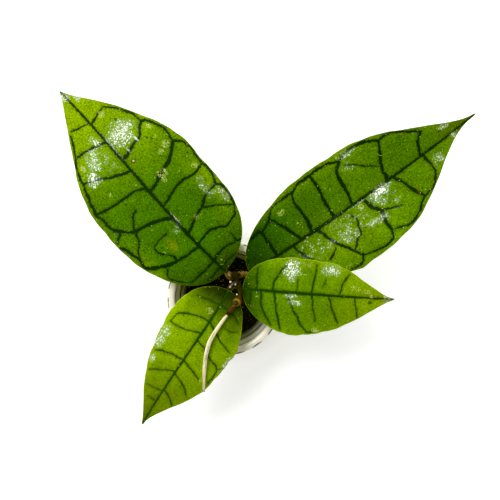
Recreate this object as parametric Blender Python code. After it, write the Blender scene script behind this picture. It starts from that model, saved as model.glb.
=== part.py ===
"""Hoya callistophylla with four netted leaves, in a nursery pot that stands inside a glazed cachepot.

Metres, +Z up. The origin is the middle of the cachepot's flat foot. Every length below is written in
millimetres, and MM turns it into metres where a mesh is made.
"""
import math
from dataclasses import dataclass

import bmesh
import bpy
import numpy as np
from mathutils import Vector, noise
from mathutils.geometry import delaunay_2d_cdt

MM = 0.001
GAP = 0.3                    # clearance between two pieces that touch

# Cachepot: an 83 mm glazed pot, 75 mm tall
CACHEPOT_RADIUS = 41.6
CACHEPOT_HEIGHT = 75.0
CACHEPOT_FOOT_RADIUS = 27.0
CACHEPOT_FLOOR = 5.0         # thickness of its floor
LIP_WIDTH = 5.9
LIP_RISE = 4.1               # height of the rounded lip above the straight wall
LIP_FLATNESS = 0.7           # 1 is a half ellipse, and less is flatter on top
POT_SEGMENTS = 48

# Nursery pot: a grower's pot of about 6.5 cm, almost in the cachepot's middle
NURSERY_OFFSET = (0.1, 0.1)
NURSERY_RIM_RADIUS = 33.3
NURSERY_RIM_TOP = 61.0
NURSERY_RIM_DEPTH = 4.0
NURSERY_TOP_RADIUS = 31.2    # outer wall just under the rim
NURSERY_BASE_RADIUS = 21.5
NURSERY_WALL = 1.0
NURSERY_FLOOR = 1.4
DRAIN_HOLES = 4
DRAIN_RADIUS = 2.4
DRAIN_CIRCLE = 13.0
NURSERY_SEGMENTS = 40

# Potting mix: it fills the nursery pot to the foot of its rim
SOIL_TOP = 57.0
SOIL_SLACK = 0.2             # added to the clearance inside the pot's wall
SOIL_EDGE_DROP = 0.6
SOIL_ROUGHNESS = 1.6         # height of its crumbs
SOIL_CRUMB_SCALE = 260.0     # crumbs per metre
SOIL_FLAT_EDGE = 1.0         # ring along the wall that stays without crumbs
SOIL_RINGS = 8

# Stem: route points are x, y, z and the radius there
STEM_ROUTE = (
    (5.2, 8.6, 44.0, 1.3),
    (5.7, 10.6, 57.0, 1.9),
    (6.5, 13.6, 68.0, 1.7),
    (7.3, 16.3, 77.5, 2.5),
    (7.6, 16.6, 80.5, 2.9),
    (8.0, 15.7, 83.5, 2.0),
    (9.3, 12.5, 89.5, 1.6),
    (10.4, 10.1, 93.5, 2.4),
    (10.9, 8.7, 95.5, 2.3),
    (11.4, 5.9, 98.5, 1.6),
    (11.1, 2.7, 100.4, 1.7),
    (9.7, 0.0, 101.2, 2.8),
    (8.3, -1.8, 101.4, 2.4),
    (7.1, -3.3, 101.4, 1.35),
    (4.9, -6.3, 101.6, 1.4),
    (3.1, -8.7, 102.0, 1.3),
)
STEM_STEPS = 3               # samples of the smooth route between two of its points
STEM_CUT = ((9.0, -0.6, 101.5), (8.3, -1.1, 104.8), 1.7)      # stub of a cut branch: foot, end, radius
STEM_BUDS = (((8.5, 10.7, 93.8), 1.5), ((9.9, 17.3, 81.6), 1.3))      # centre and radius

# Dried shoot: the bare, dry core that comes out of the stem's bark; x, y, z and radius
DRIED_ROUTE = (
    (2.8, -9.2, 102.1, 0.85),
    (0.3, -12.2, 102.8, 1.0),
    (-2.9, -16.5, 103.1, 1.15),
    (-6.6, -22.5, 103.0, 1.3),
    (-9.6, -28.5, 102.3, 1.35),
    (-11.5, -35.5, 101.2, 1.3),
    (-12.5, -42.5, 99.9, 1.2),
    (-13.1, -49.7, 98.3, 1.1),
    (-13.4, -56.7, 96.5, 0.95),
    (-13.4, -62.3, 95.0, 0.65),
)

# Blades
MIDDLE_THICKNESS = 1.5
MARGIN_THICKNESS = 0.9
THICK_FROM = 8.0             # distance from the margin where the full thickness is reached
RIDGE_DEPTH = 2.0            # how far the midrib stands out under the blade, at its base
RIDGE_HALF_WIDTH = 2.4
PUCKER = 0.9                 # how far the blade rises between its sunken veins
PUCKER_REACH = 3.0           # distance from a vein at which most of that rise is reached
PUCKER_FADE = 5.0            # the rise dies out over this distance from the margin
LOOP_BULGE = 0.09            # share of the half width by which a vein loop bows outwards
LATERAL_SWEEP = 1.3          # above 1, laterals leave the midrib squarely and then sweep forwards
WAVES = 3.5                  # waves along each margin
FILL_SPACING = 6.0           # spacing of the points between the veins
LEAST_SPACING = 2.2          # and their least distance from a vein or the margin

# Petiole: its radius, and (along, depth, radius) where it runs on under the blade
PETIOLE_RADIUS = 1.75
PETIOLE_UNDER = ((0.0, 1.6, 1.75), (0.05, 1.7, 1.35), (0.10, 1.7, 0.9))

# Colour and roughness of each piece
LEAF_FINISH = ((0.11, 0.24, 0.01), 0.35)
FINISHES = {
    "cachepot": ((0.80, 0.77, 0.64), 0.25),
    "nursery_pot": ((0.02, 0.02, 0.022), 0.3),
    "soil": ((0.02, 0.017, 0.013), 0.9),
    "stem": ((0.16, 0.08, 0.03), 0.45),
    "dried_shoot": ((0.60, 0.52, 0.27), 0.6),
}
SHARP_ANGLE = 40.0           # edges bent more than this stay sharp, degrees


@dataclass(frozen=True)
class Half:
    """One side of a blade, seen from above.

    The margin rises from the base to `width` at `widest` (0 base, 1 tip) and falls to the tip.
    Laterals are (start on the midrib, end, reach towards the margin), twigs are short lines
    (along, out, along, out) in the same shares of the blade.
    """
    width: float
    widest: float
    base_power: float
    tip_power: float
    tip_sharpness: float
    laterals: tuple
    looped: bool = True
    twigs: tuple = ()


@dataclass(frozen=True)
class Leaf:
    """A leaf: its midrib as a cubic curve from base to tip, its two halves and how they are bent."""
    name: str
    midrib: tuple
    left: Half
    right: Half
    fold: tuple              # rise of the left and right half, degrees
    curl: float              # how far the margins bend down
    wave: float              # height of the margin's waves
    node: tuple              # where its petiole starts inside the stem
    petiole_bend: tuple      # one point that the petiole passes

    def half(self, along, side):
        """Half width at a share of the midrib, on the left (side > 0) or the right."""
        part = self.left if side > 0 else self.right
        along = np.asarray(along, float)
        before = np.clip((part.widest - along) / part.widest, 0.0, 1.0)
        after = np.clip((along - part.widest) / (1.0 - part.widest), 0.0, 1.0)
        base = np.sqrt(1.0 - before ** part.base_power)
        tip = (1.0 - after ** part.tip_power) ** part.tip_sharpness
        return part.width * np.where(along < part.widest, base, tip)

    def length(self):
        """Length of the midrib."""
        points = self.middle(np.linspace(0.0, 1.0, 60))
        return float(np.linalg.norm(np.diff(points, axis=0), axis=1).sum())

    def middle(self, along):
        """Points of the midrib."""
        a, b, c, d = (np.array(point) for point in self.midrib)
        u = np.asarray(along, float)[..., None]
        return (1 - u) ** 3 * a + 3 * (1 - u) ** 2 * u * b + 3 * (1 - u) * u * u * c + u ** 3 * d

    def frame(self, along):
        """Unit vectors across the blade (to the left) and out of its upper face."""
        a, b, c, d = (np.array(point) for point in self.midrib)
        u = np.asarray(along, float)[..., None]
        ahead = (1 - u) ** 2 * (b - a) + 2 * (1 - u) * u * (c - b) + u * u * (d - c)
        ahead /= np.linalg.norm(ahead, axis=-1, keepdims=True)
        across = np.cross(np.array((0.0, 0.0, 1.0)), ahead)
        across /= np.linalg.norm(across, axis=-1, keepdims=True)
        return across, np.cross(ahead, across)

    def surface(self, along, out, lift):
        """Points at shares (along, out) of the blade, raised by lift."""
        along = np.asarray(along, float)
        out = np.asarray(out, float)
        across, up = self.frame(along)
        half = np.where(out > 0, self.half(along, 1), self.half(along, -1))
        fold = np.radians(np.where(out > 0, self.fold[0], self.fold[1]))
        distance = np.abs(out) * half
        soft = np.sqrt(distance ** 2 + 4.0) - 2.0
        widest = max(self.left.width, self.right.width)
        phase = np.where(out > 0, 0.0, 1.7)
        ripple = self.wave * out ** 2 * np.sin(2 * np.pi * WAVES * along + phase) * np.minimum(1, half / 10)
        rise = soft * np.sin(fold) - self.curl * (distance / widest) ** 2 + ripple + lift
        sideways = np.sign(out) * distance * np.cos(fold)
        return self.middle(along) + across * sideways[..., None] + up * rise[..., None]


LEAVES = (
    Leaf(
        name="leaf_upper_left",
        midrib=((0.9, 19.8, 82.5), (-36.3, 53.6, 98.0), (-72.3, 103.1, 96.0), (-119.2, 149.0, 73.5)),
        left=Half(
            42.8, 0.46, 2.35, 1.87, 1.28,
            laterals=((0.03, 0.03, 0.80), (0.07, 0.08, 0.89), (0.16, 0.22, 0.88), (0.32, 0.41, 0.78),
                      (0.48, 0.53, 0.82), (0.57, 0.64, 0.86), (0.72, 0.75, 0.88), (0.82, 0.84, 0.78)),
            twigs=((0.18, 0.50, 0.28, 0.58), (0.28, 0.58, 0.29, 0.25), (0.38, 0.60, 0.29, 0.88)),
        ),
        right=Half(
            42.6, 0.48, 3.75, 1.96, 1.355,
            laterals=((0.03, 0.03, 0.80), (0.07, 0.06, 0.92), (0.17, 0.15, 0.90), (0.23, 0.31, 0.88),
                      (0.38, 0.41, 0.87), (0.46, 0.55, 0.84), (0.62, 0.69, 0.85), (0.81, 0.83, 0.82)),
            twigs=((0.27, 0.49, 0.19, 0.91),),
        ),
        fold=(8, 4), curl=5.0, wave=0.8,
        node=(7.6, 16.6, 80.2), petiole_bend=(5.3, 17.7, 80.1),
    ),
    Leaf(
        name="leaf_upper_right",
        midrib=((18.2, 17.6, 80.0), (67.2, 50.1, 84.0), (120.2, 85.6, 98.0), (173.3, 128.6, 93.9)),
        left=Half(
            38.3, 0.43, 1.96, 2.52, 1.69,
            laterals=((0.13, 0.13, 0.80), (0.24, 0.19, 0.76), (0.29, 0.31, 0.86), (0.39, 0.40, 0.88),
                      (0.47, 0.52, 0.83), (0.62, 0.67, 0.83), (0.76, 0.81, 0.77)),
            twigs=((0.53, 0.69, 0.62, 0.36), (0.11, 0.85, 0.07, 0.96)),
        ),
        right=Half(
            40.3, 0.37, 0.96, 3.06, 2.72,
            laterals=((0.10, 0.14, 0.80), (0.20, 0.26, 0.82), (0.31, 0.40, 0.83), (0.51, 0.54, 0.79),
                      (0.64, 0.69, 0.85), (0.77, 0.77, 0.75)),
            twigs=((0.54, 0.38, 0.61, 0.57), (0.38, 0.67, 0.44, 0.42), (0.44, 0.42, 0.44, 0.11)),
        ),
        fold=(14, 14), curl=3.0, wave=1.2,
        node=(7.6, 16.6, 79.8), petiole_bend=(13.1, 17.5, 78.6),
    ),
    Leaf(
        name="leaf_lower_left",
        midrib=((3.7, 7.1, 96.0), (-7.3, -13.9, 104.0), (-36.3, -50.9, 96.0), (-57.6, -87.8, 85.6)),
        left=Half(
            26.8, 0.35, 1.13, 3.6, 2.05,
            laterals=((0.14, 0.19, 0.85), (0.28, 0.38, 0.82), (0.42, 0.50, 0.80), (0.56, 0.61, 0.63),
                      (0.65, 0.73, 0.80), (0.76, 0.82, 0.87)),
            looped=False,
            twigs=((0.50, 0.80, 0.60, 0.93), (0.52, 0.84, 0.46, 0.97)),
        ),
        right=Half(
            26.4, 0.325, 1.62, 2.75, 1.4,
            laterals=((0.14, 0.17, 0.80), (0.28, 0.36, 0.80), (0.37, 0.43, 0.83), (0.56, 0.61, 0.88),
                      (0.64, 0.72, 0.86), (0.77, 0.79, 0.83), (0.84, 0.84, 0.64)),
            looped=False,
            twigs=((0.36, 0.80, 0.43, 0.83),),
        ),
        fold=(0, 0), curl=5.0, wave=0.6,
        node=(10.3, 10.1, 93.2), petiole_bend=(6.3, 10.1, 93.6),
    ),
    Leaf(
        name="leaf_right",
        midrib=((12.9, 8.2, 97.0), (44.7, 6.1, 106.0), (78.2, 3.1, 104.0), (118.1, 0.5, 91.7)),
        left=Half(
            23.4, 0.39, 2.9, 2.96, 1.82,
            laterals=((0.03, 0.02, 0.80), (0.10, 0.10, 0.84), (0.21, 0.30, 0.78), (0.37, 0.38, 0.42),
                      (0.47, 0.50, 0.87), (0.65, 0.71, 0.87)),
            looped=False,
            twigs=((0.54, 0.22, 0.56, 0.47),),
        ),
        right=Half(
            28.9, 0.347, 1.6, 2.34, 1.387,
            laterals=((0.06, 0.05, 0.80), (0.13, 0.20, 0.91), (0.22, 0.28, 0.92), (0.31, 0.45, 0.88),
                      (0.47, 0.51, 0.67), (0.58, 0.66, 0.83), (0.75, 0.78, 0.92)),
            looped=False,
        ),
        fold=(0, 0), curl=5.0, wave=0.6,
        node=(10.9, 8.9, 94.8), petiole_bend=(12.3, 8.4, 94.6),
    ),
)


def clear_scene():
    """Remove every object that is already in the file."""
    for old in list(bpy.data.objects):
        bpy.data.objects.remove(old, do_unlink=True)


def add_object(name, mesh):
    """Link a mesh to the scene as an object."""
    shape = bpy.data.objects.new(name, mesh)
    bpy.context.scene.collection.objects.link(shape)
    return shape


def paint(shape):
    """Give an object its own material and smooth shading."""
    colour, roughness = FINISHES.get(shape.name, LEAF_FINISH)
    material = bpy.data.materials.new(shape.name)
    material.use_nodes = True
    shader = material.node_tree.nodes["Principled BSDF"]
    shader.inputs["Base Color"].default_value = (*colour, 1.0)
    shader.inputs["Roughness"].default_value = roughness
    shader.inputs["Metallic"].default_value = 0.0
    shape.data.materials.clear()
    shape.data.materials.append(material)
    shape.data.shade_smooth()
    shape.data.set_sharp_from_angle(angle=math.radians(SHARP_ANGLE))


def boolean(shape, other, operation):
    """Apply a Boolean of another object to a shape, and remove that object."""
    modifier = shape.modifiers.new(operation.lower(), "BOOLEAN")
    modifier.operation = operation
    modifier.solver = "EXACT"
    modifier.object = other
    view = bpy.context.evaluated_depsgraph_get()
    mesh = bpy.data.meshes.new_from_object(shape.evaluated_get(view))
    shape.modifiers.clear()
    shape.data = mesh
    bpy.data.objects.remove(other, do_unlink=True)


def turned(name, profile, segments, centre=(0.0, 0.0)):
    """Turn a closed profile of (radius, height) about the vertical axis through centre."""
    shell = bmesh.new()
    rim = [shell.verts.new(Vector((radius, 0.0, height)) * MM) for radius, height in profile]
    line = [shell.edges.new(pair) for pair in zip(rim, rim[1:])]
    bmesh.ops.spin(
        shell, geom=rim + line, cent=(0, 0, 0), axis=(0, 0, 1), angle=math.tau, steps=segments, use_merge=True
    )
    bmesh.ops.remove_doubles(shell, verts=shell.verts, dist=0.001 * MM)
    bmesh.ops.translate(shell, verts=shell.verts, vec=Vector((*centre, 0.0)) * MM)
    bmesh.ops.recalc_face_normals(shell, faces=shell.faces)
    mesh = bpy.data.meshes.new(name)
    shell.to_mesh(mesh)
    shell.free()
    return add_object(name, mesh)


def smooth_route(points, steps):
    """Read a smooth curve through the points, with steps samples between each two."""
    table = np.array(points, float)
    table = np.vstack((2 * table[0] - table[1], table, 2 * table[-1] - table[-2]))
    route = []
    for a, b, c, d in zip(table, table[1:], table[2:], table[3:]):
        for u in np.arange(steps) / steps:
            route.append(0.5 * (2 * b + (c - a) * u + (2 * a - 5 * b + 4 * c - d) * u ** 2
                                + (3 * b - 3 * c + d - a) * u ** 3))
    route.append(table[-2])
    return np.array(route)


def tube(name, points, steps=2, extra=0.0):
    """A closed round tube along points of (x, y, z, radius), with extra added all round and at its ends."""
    route = smooth_route(points, steps)
    for end, inward in ((0, 1), (-1, -2)):
        outward = route[end][:3] - route[inward][:3]
        route[end][:3] += extra * outward / np.linalg.norm(outward)
    curve = bpy.data.curves.new(name, "CURVE")
    curve.dimensions = "3D"
    curve.bevel_depth = MM
    curve.bevel_resolution = 3
    curve.use_fill_caps = True
    spline = curve.splines.new("POLY")
    spline.points.add(len(route) - 1)
    for knot, (x, y, z, radius) in zip(spline.points, route):
        knot.co = (x * MM, y * MM, z * MM, 1.0)
        knot.radius = radius + extra
    line = bpy.data.objects.new(name, curve)
    bpy.context.scene.collection.objects.link(line)
    view = bpy.context.evaluated_depsgraph_get()
    mesh = bpy.data.meshes.new_from_object(line.evaluated_get(view))
    bpy.data.objects.remove(line, do_unlink=True)
    shell = bmesh.new()
    shell.from_mesh(mesh)
    bmesh.ops.remove_doubles(shell, verts=shell.verts, dist=0.001 * MM)
    bmesh.ops.recalc_face_normals(shell, faces=shell.faces)
    shell.to_mesh(mesh)
    shell.free()
    return add_object(name, mesh)


def ball(name, centre, radius):
    """A small round bud."""
    shell = bmesh.new()
    bmesh.ops.create_icosphere(shell, subdivisions=2, radius=radius * MM)
    bmesh.ops.translate(shell, verts=shell.verts, vec=Vector(centre) * MM)
    mesh = bpy.data.meshes.new(name)
    shell.to_mesh(mesh)
    shell.free()
    return add_object(name, mesh)


def build_cachepot():
    """The glazed outer pot, with a flat foot, a widening wall and a rounded lip."""
    wall_top = CACHEPOT_HEIGHT - LIP_RISE
    lip_middle = CACHEPOT_RADIUS - LIP_WIDTH / 2
    widening = CACHEPOT_RADIUS - CACHEPOT_FOOT_RADIUS
    outside = [(0.0, 0.0), (CACHEPOT_FOOT_RADIUS - 1.0, 0.0)]
    for share in np.linspace(0.02, 0.94, 9):
        belly = math.sin(share * math.pi / 2) ** 0.9
        outside.append((CACHEPOT_FOOT_RADIUS + widening * belly, share * wall_top))
    lip = []
    for turn in np.linspace(0.0, math.pi, 11):
        across = math.copysign(abs(math.cos(turn)) ** LIP_FLATNESS, math.cos(turn))
        up = abs(math.sin(turn)) ** LIP_FLATNESS
        lip.append((lip_middle + LIP_WIDTH / 2 * across, wall_top + LIP_RISE * up))
    inner = CACHEPOT_RADIUS - LIP_WIDTH
    inside = [
        (inner - 0.1, 69.0), (inner - 1.8, 61.5), (inner - 2.1, 55.0), (inner - 3.5, 42.0), (inner - 5.7, 26.0),
        (inner - 7.9, 12.0), (inner - 9.8, 7.0), (inner - 11.5, CACHEPOT_FLOOR), (0.0, CACHEPOT_FLOOR),
    ]
    paint(turned("cachepot", outside + lip + inside, POT_SEGMENTS))


def nursery_radius(height):
    """Outer radius of the nursery pot's tapered wall at a height."""
    floor = CACHEPOT_FLOOR + GAP
    share = (height - floor) / (NURSERY_RIM_TOP - NURSERY_RIM_DEPTH - floor)
    return NURSERY_BASE_RADIUS + (NURSERY_TOP_RADIUS - NURSERY_BASE_RADIUS) * share


def build_nursery_pot():
    """The thin plastic pot with its band-like rim and drainage holes."""
    bottom = CACHEPOT_FLOOR + GAP
    rim_foot = NURSERY_RIM_TOP - NURSERY_RIM_DEPTH
    profile = (
        (0.0, bottom),
        (NURSERY_BASE_RADIUS - 0.8, bottom),
        (nursery_radius(bottom + 0.8), bottom + 0.8),
        (NURSERY_TOP_RADIUS, rim_foot),
        (NURSERY_RIM_RADIUS - 0.3, rim_foot),
        (NURSERY_RIM_RADIUS, rim_foot + 0.5),
        (NURSERY_RIM_RADIUS, NURSERY_RIM_TOP - 0.6),
        (NURSERY_RIM_RADIUS - 0.5, NURSERY_RIM_TOP),
        (NURSERY_RIM_RADIUS - 1.8, NURSERY_RIM_TOP),
        (NURSERY_RIM_RADIUS - 2.3, NURSERY_RIM_TOP - 0.7),
        (NURSERY_TOP_RADIUS - NURSERY_WALL, rim_foot),
        (nursery_radius(bottom + NURSERY_FLOOR) - NURSERY_WALL, bottom + NURSERY_FLOOR),
        (0.0, bottom + NURSERY_FLOOR),
    )
    pot = turned("nursery_pot", profile, NURSERY_SEGMENTS, NURSERY_OFFSET)
    for index in range(DRAIN_HOLES):
        turn = math.tau * (index + 0.5) / DRAIN_HOLES
        x = NURSERY_OFFSET[0] + DRAIN_CIRCLE * math.cos(turn)
        y = NURSERY_OFFSET[1] + DRAIN_CIRCLE * math.sin(turn)
        ends = ((x, y, bottom - 2.0, DRAIN_RADIUS), (x, y, bottom + 4.0, DRAIN_RADIUS))
        boolean(pot, tube("drain", ends, steps=1), "DIFFERENCE")
    paint(pot)


def build_soil():
    """The potting mix: a plug with a crumbly top and a plain hole for the stem's foot."""
    bottom = CACHEPOT_FLOOR + GAP + NURSERY_FLOOR + GAP
    inset = NURSERY_WALL + GAP + SOIL_SLACK
    edge = nursery_radius(SOIL_TOP) - inset
    profile = [(0.0, bottom), (nursery_radius(bottom) - inset, bottom), (edge, SOIL_TOP - SOIL_EDGE_DROP)]
    profile += [(edge * (1.0 - ring / SOIL_RINGS), SOIL_TOP) for ring in range(1, SOIL_RINGS + 1)]
    soil = turned("soil", profile, NURSERY_SEGMENTS, NURSERY_OFFSET)
    for vertex in soil.data.vertices:
        radius = math.hypot(vertex.co.x / MM - NURSERY_OFFSET[0], vertex.co.y / MM - NURSERY_OFFSET[1])
        on_top = vertex.co.z > (SOIL_TOP - SOIL_EDGE_DROP / 2) * MM
        if on_top and radius < edge - SOIL_FLAT_EDGE:
            vertex.co.z += SOIL_ROUGHNESS * MM * noise.noise(vertex.co * SOIL_CRUMB_SCALE)
    boolean(soil, tube("hole", STEM_ROUTE, steps=STEM_STEPS, extra=GAP), "DIFFERENCE")
    paint(soil)


def stem_solid(name, extra=0.0):
    """The stem with its nodes, knob, cut stub and buds, made fatter by extra."""
    stem = tube(name, STEM_ROUTE, steps=STEM_STEPS, extra=extra)
    foot, end, radius = STEM_CUT
    boolean(stem, tube("cut", ((*foot, radius), (*end, radius * 0.94)), steps=2, extra=extra), "UNION")
    for centre, size in STEM_BUDS:
        boolean(stem, ball("bud", centre, size + extra), "UNION")
    return stem


def build_dried_shoot():
    """The cream, dry core of the shoot."""
    paint(tube("dried_shoot", DRIED_ROUTE, steps=3))


def vein_lines(leaf):
    """The midrib's flanks, laterals, loops and twigs, as lists of (along, out) shares."""
    lines = []
    for side, part in ((1.0, leaf.left), (-1.0, leaf.right)):
        for start, end, reach in part.laterals:
            share = np.linspace(0.0, 1.0, 6)
            lines.append((start + (end - start) * share ** LATERAL_SWEEP, side * reach * share))
        if part.looped:
            for (_, near, low), (_, far, high) in zip(part.laterals, part.laterals[1:]):
                share = np.linspace(0.0, 1.0, 5)
                bulge = LOOP_BULGE * np.sin(np.pi * share)
                lines.append((near + (far - near) * share, side * (low + (high - low) * share + bulge)))
        for near, low, far, high in part.twigs:
            share = np.linspace(0.0, 1.0, 3)
            lines.append((near + (far - near) * share, side * (low + (high - low) * share)))
    return lines


def nearest(points, lines):
    """Distance from each flat point to the nearest of several polylines."""
    best = np.full(len(points), 1e9)
    for line in lines:
        for start, end in zip(line, line[1:]):
            step = end - start
            share = np.clip(((points - start) @ step) / max(step @ step, 1e-9), 0.0, 1.0)
            best = np.minimum(best, np.linalg.norm(points - (start + share[:, None] * step), axis=1))
    return best


def blade_plan(leaf):
    """Triangulate the flattened blade along its outline and veins.

    Returns the shares (along, out) of its points, their triangles, and the distances to the nearest
    vein and to the margin.
    """
    length = leaf.length()

    def flat(along, out):
        half = np.where(out > 0, leaf.half(along, 1), leaf.half(along, -1))
        return np.column_stack((along * length, out * half))

    spread = (1.0 - np.cos(np.linspace(0.0, np.pi, 30))) / 2.0
    left_edge = flat(spread, np.ones(len(spread)))
    right_edge = flat(spread[1:-1], -np.ones(len(spread) - 2))
    outline = np.vstack((left_edge, right_edge[::-1]))
    middle = flat(np.linspace(0.0, 1.0, 26), np.zeros(26))
    flank_along = np.linspace(0.02, 0.93, 22)
    lines = [middle]
    for side in (1.0, -1.0):
        offset = side * RIDGE_HALF_WIDTH * (1.0 - 0.6 * flank_along)
        lines.append(np.column_stack((flank_along * length, offset)))
    veins = [flat(along, out) for along, out in vein_lines(leaf)]
    lines += veins

    points = [tuple(point) for point in outline]
    edges = [(index, (index + 1) % len(outline)) for index in range(len(outline))]
    for line in lines:
        first = len(points)
        points += [tuple(point) for point in line]
        edges += [(first + index, first + index + 1) for index in range(len(line) - 1)]

    fill = []
    for row, x in enumerate(np.arange(FILL_SPACING, length, FILL_SPACING * 0.87)):
        for y in np.arange(-50.0, 50.0, FILL_SPACING):
            fill.append((x, y + FILL_SPACING / 2 * (row % 2)))
    fill = np.array(fill)
    edge_line = [np.vstack((outline, outline[:1]))]
    share = fill[:, 0] / length
    inside = np.abs(fill[:, 1]) < np.where(fill[:, 1] > 0, leaf.half(share, 1), leaf.half(share, -1))
    clear = np.minimum(nearest(fill, lines), nearest(fill, edge_line)) > LEAST_SPACING
    points += [tuple(point) for point in fill[inside & clear]]

    found = delaunay_2d_cdt([Vector(point) for point in points], edges, [], 1, 0.25)
    flat_points = np.array([tuple(point) for point in found[0]])
    along = np.clip(flat_points[:, 0] / length, 0.0, 1.0)
    half = np.where(flat_points[:, 1] > 0, leaf.half(along, 1), leaf.half(along, -1))
    out = np.clip(flat_points[:, 1] / np.maximum(half, 1e-6), -1.0, 1.0)
    return along, out, found[2], nearest(flat_points, [middle] + veins), nearest(flat_points, edge_line)


def build_blade(leaf):
    """The leaf's blade with sunken veins above and a raised midrib below, as one closed solid."""
    along, out, triangles, vein_distance, margin_distance = blade_plan(leaf)
    half = np.where(out > 0, leaf.half(along, 1), leaf.half(along, -1))
    off_middle = np.abs(out) * half
    fade = np.clip(margin_distance / PUCKER_FADE, 0.0, 1.0)
    pucker = PUCKER * (1.0 - np.exp(-(vein_distance / PUCKER_REACH) ** 2)) * fade
    swelling = np.clip(margin_distance / THICK_FROM, 0.0, 1.0)
    thickness = MARGIN_THICKNESS + (MIDDLE_THICKNESS - MARGIN_THICKNESS) * swelling
    ridge = RIDGE_DEPTH * (1.0 - 0.85 * along) * np.clip(1.0 - off_middle / 1.2, 0.0, 1.0)
    ridge *= np.clip(margin_distance / 2.0, 0.0, 1.0)
    top = leaf.surface(along, out, pucker) * MM
    bottom = leaf.surface(along, out, pucker * 0.5 - thickness - ridge) * MM

    shell = bmesh.new()
    above = [shell.verts.new(point) for point in top]
    below = [shell.verts.new(point) for point in bottom]
    for corners in triangles:
        shell.faces.new([above[index] for index in corners])
        shell.faces.new([below[index] for index in reversed(corners)])
    twin = dict(zip(above, below))
    for edge in [edge for edge in shell.edges if edge.is_boundary and edge.verts[0] in twin]:
        start, end = edge.verts
        shell.faces.new((start, end, twin[end], twin[start]))
    bmesh.ops.recalc_face_normals(shell, faces=shell.faces)
    mesh = bpy.data.meshes.new(leaf.name)
    shell.to_mesh(mesh)
    shell.free()
    return add_object(leaf.name, mesh)


def build_leaf(leaf):
    """A blade with its petiole, cut back from the stem."""
    blade = build_blade(leaf)
    route = [(*leaf.node, PETIOLE_RADIUS), (*leaf.petiole_bend, PETIOLE_RADIUS)]
    for along, depth, radius in PETIOLE_UNDER:
        route.append((*leaf.surface([along], [0.0], [-depth])[0], radius))
    boolean(blade, tube("petiole", route), "UNION")
    boolean(blade, stem_solid("trim", GAP), "DIFFERENCE")
    paint(blade)


def main():
    """Build every piece of the potted plant."""
    clear_scene()
    build_cachepot()
    build_nursery_pot()
    build_soil()
    paint(stem_solid("stem"))
    build_dried_shoot()
    for leaf in LEAVES:
        build_leaf(leaf)


main()
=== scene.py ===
"""Looks of a potted hoya callistophylla: four netted leaves on a bent stem, in two pots.

Metres, +Z up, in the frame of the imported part, whose origin is the middle of the cachepot's foot.
Lengths below are written in millimetres, and MM turns them into metres.
"""

import logging
import math
from dataclasses import dataclass
from enum import Enum
from typing import Callable, Iterator

import bmesh
import bpy
import numpy as np
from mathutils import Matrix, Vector, noise


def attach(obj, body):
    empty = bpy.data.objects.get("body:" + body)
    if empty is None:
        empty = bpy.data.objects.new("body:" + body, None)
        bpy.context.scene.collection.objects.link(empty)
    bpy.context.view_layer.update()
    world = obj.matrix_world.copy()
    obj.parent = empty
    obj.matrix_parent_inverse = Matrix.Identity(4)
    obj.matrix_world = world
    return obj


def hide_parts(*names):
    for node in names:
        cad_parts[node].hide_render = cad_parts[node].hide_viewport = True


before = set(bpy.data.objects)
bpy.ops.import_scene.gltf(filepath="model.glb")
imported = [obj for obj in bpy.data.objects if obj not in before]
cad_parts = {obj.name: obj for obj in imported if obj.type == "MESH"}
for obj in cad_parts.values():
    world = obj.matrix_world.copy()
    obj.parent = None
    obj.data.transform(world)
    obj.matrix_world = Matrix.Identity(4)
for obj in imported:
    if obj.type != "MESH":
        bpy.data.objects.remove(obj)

MM = 0.001
BODY = "root"
WELD = 0.002                 # points closer than this become one
FAR = 1e9                    # more than any distance here
CAP = 0.6                    # height of a tube's rounded end, in radii
ASKEW = (0.31, 0.87, 0.38)   # a direction that no route takes

Colour = tuple[float, float, float]
Socket = bpy.types.NodeSocket
Material = bpy.types.Material
BMesh = bmesh.types.BMesh
Array = np.ndarray
log = logging.getLogger("hoya")


def reckon(operation: str, swapped: bool = False) -> Callable:
    """Make a method that adds one Math node to a signal.

    Args:
        operation: the Math node's operation.
        swapped: whether the signal is the node's second value.

    Returns:
        The method, which takes the other value if the operation has one.
    """
    settings = {"operation": operation}

    def method(self: "Signal", *other: "Signal | float") -> "Signal":
        """The result of the node that this adds."""
        inputs = dict(enumerate((*other, self) if swapped else (self, *other)))
        return Signal(self.graph, self.graph.add("ShaderNodeMath", settings, inputs).outputs[0])

    return method


class Signal:
    """A number that varies over a surface: a node's output that Python's operators work on."""
    __add__, __radd__ = reckon("ADD"), reckon("ADD", swapped=True)
    __sub__, __rsub__ = reckon("SUBTRACT"), reckon("SUBTRACT", swapped=True)
    __mul__, __rmul__ = reckon("MULTIPLY"), reckon("MULTIPLY", swapped=True)
    __truediv__ = reckon("DIVIDE")
    __abs__ = reckon("ABSOLUTE")
    fraction, floor, root = reckon("FRACT"), reckon("FLOOR"), reckon("SQRT")
    larger, angle_to = reckon("MAXIMUM"), reckon("ARCTAN2")

    def __init__(self, graph: "Graph", socket: Socket) -> None:
        """Wrap one output socket of a graph."""
        self.graph = graph
        self.socket = socket


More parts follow.
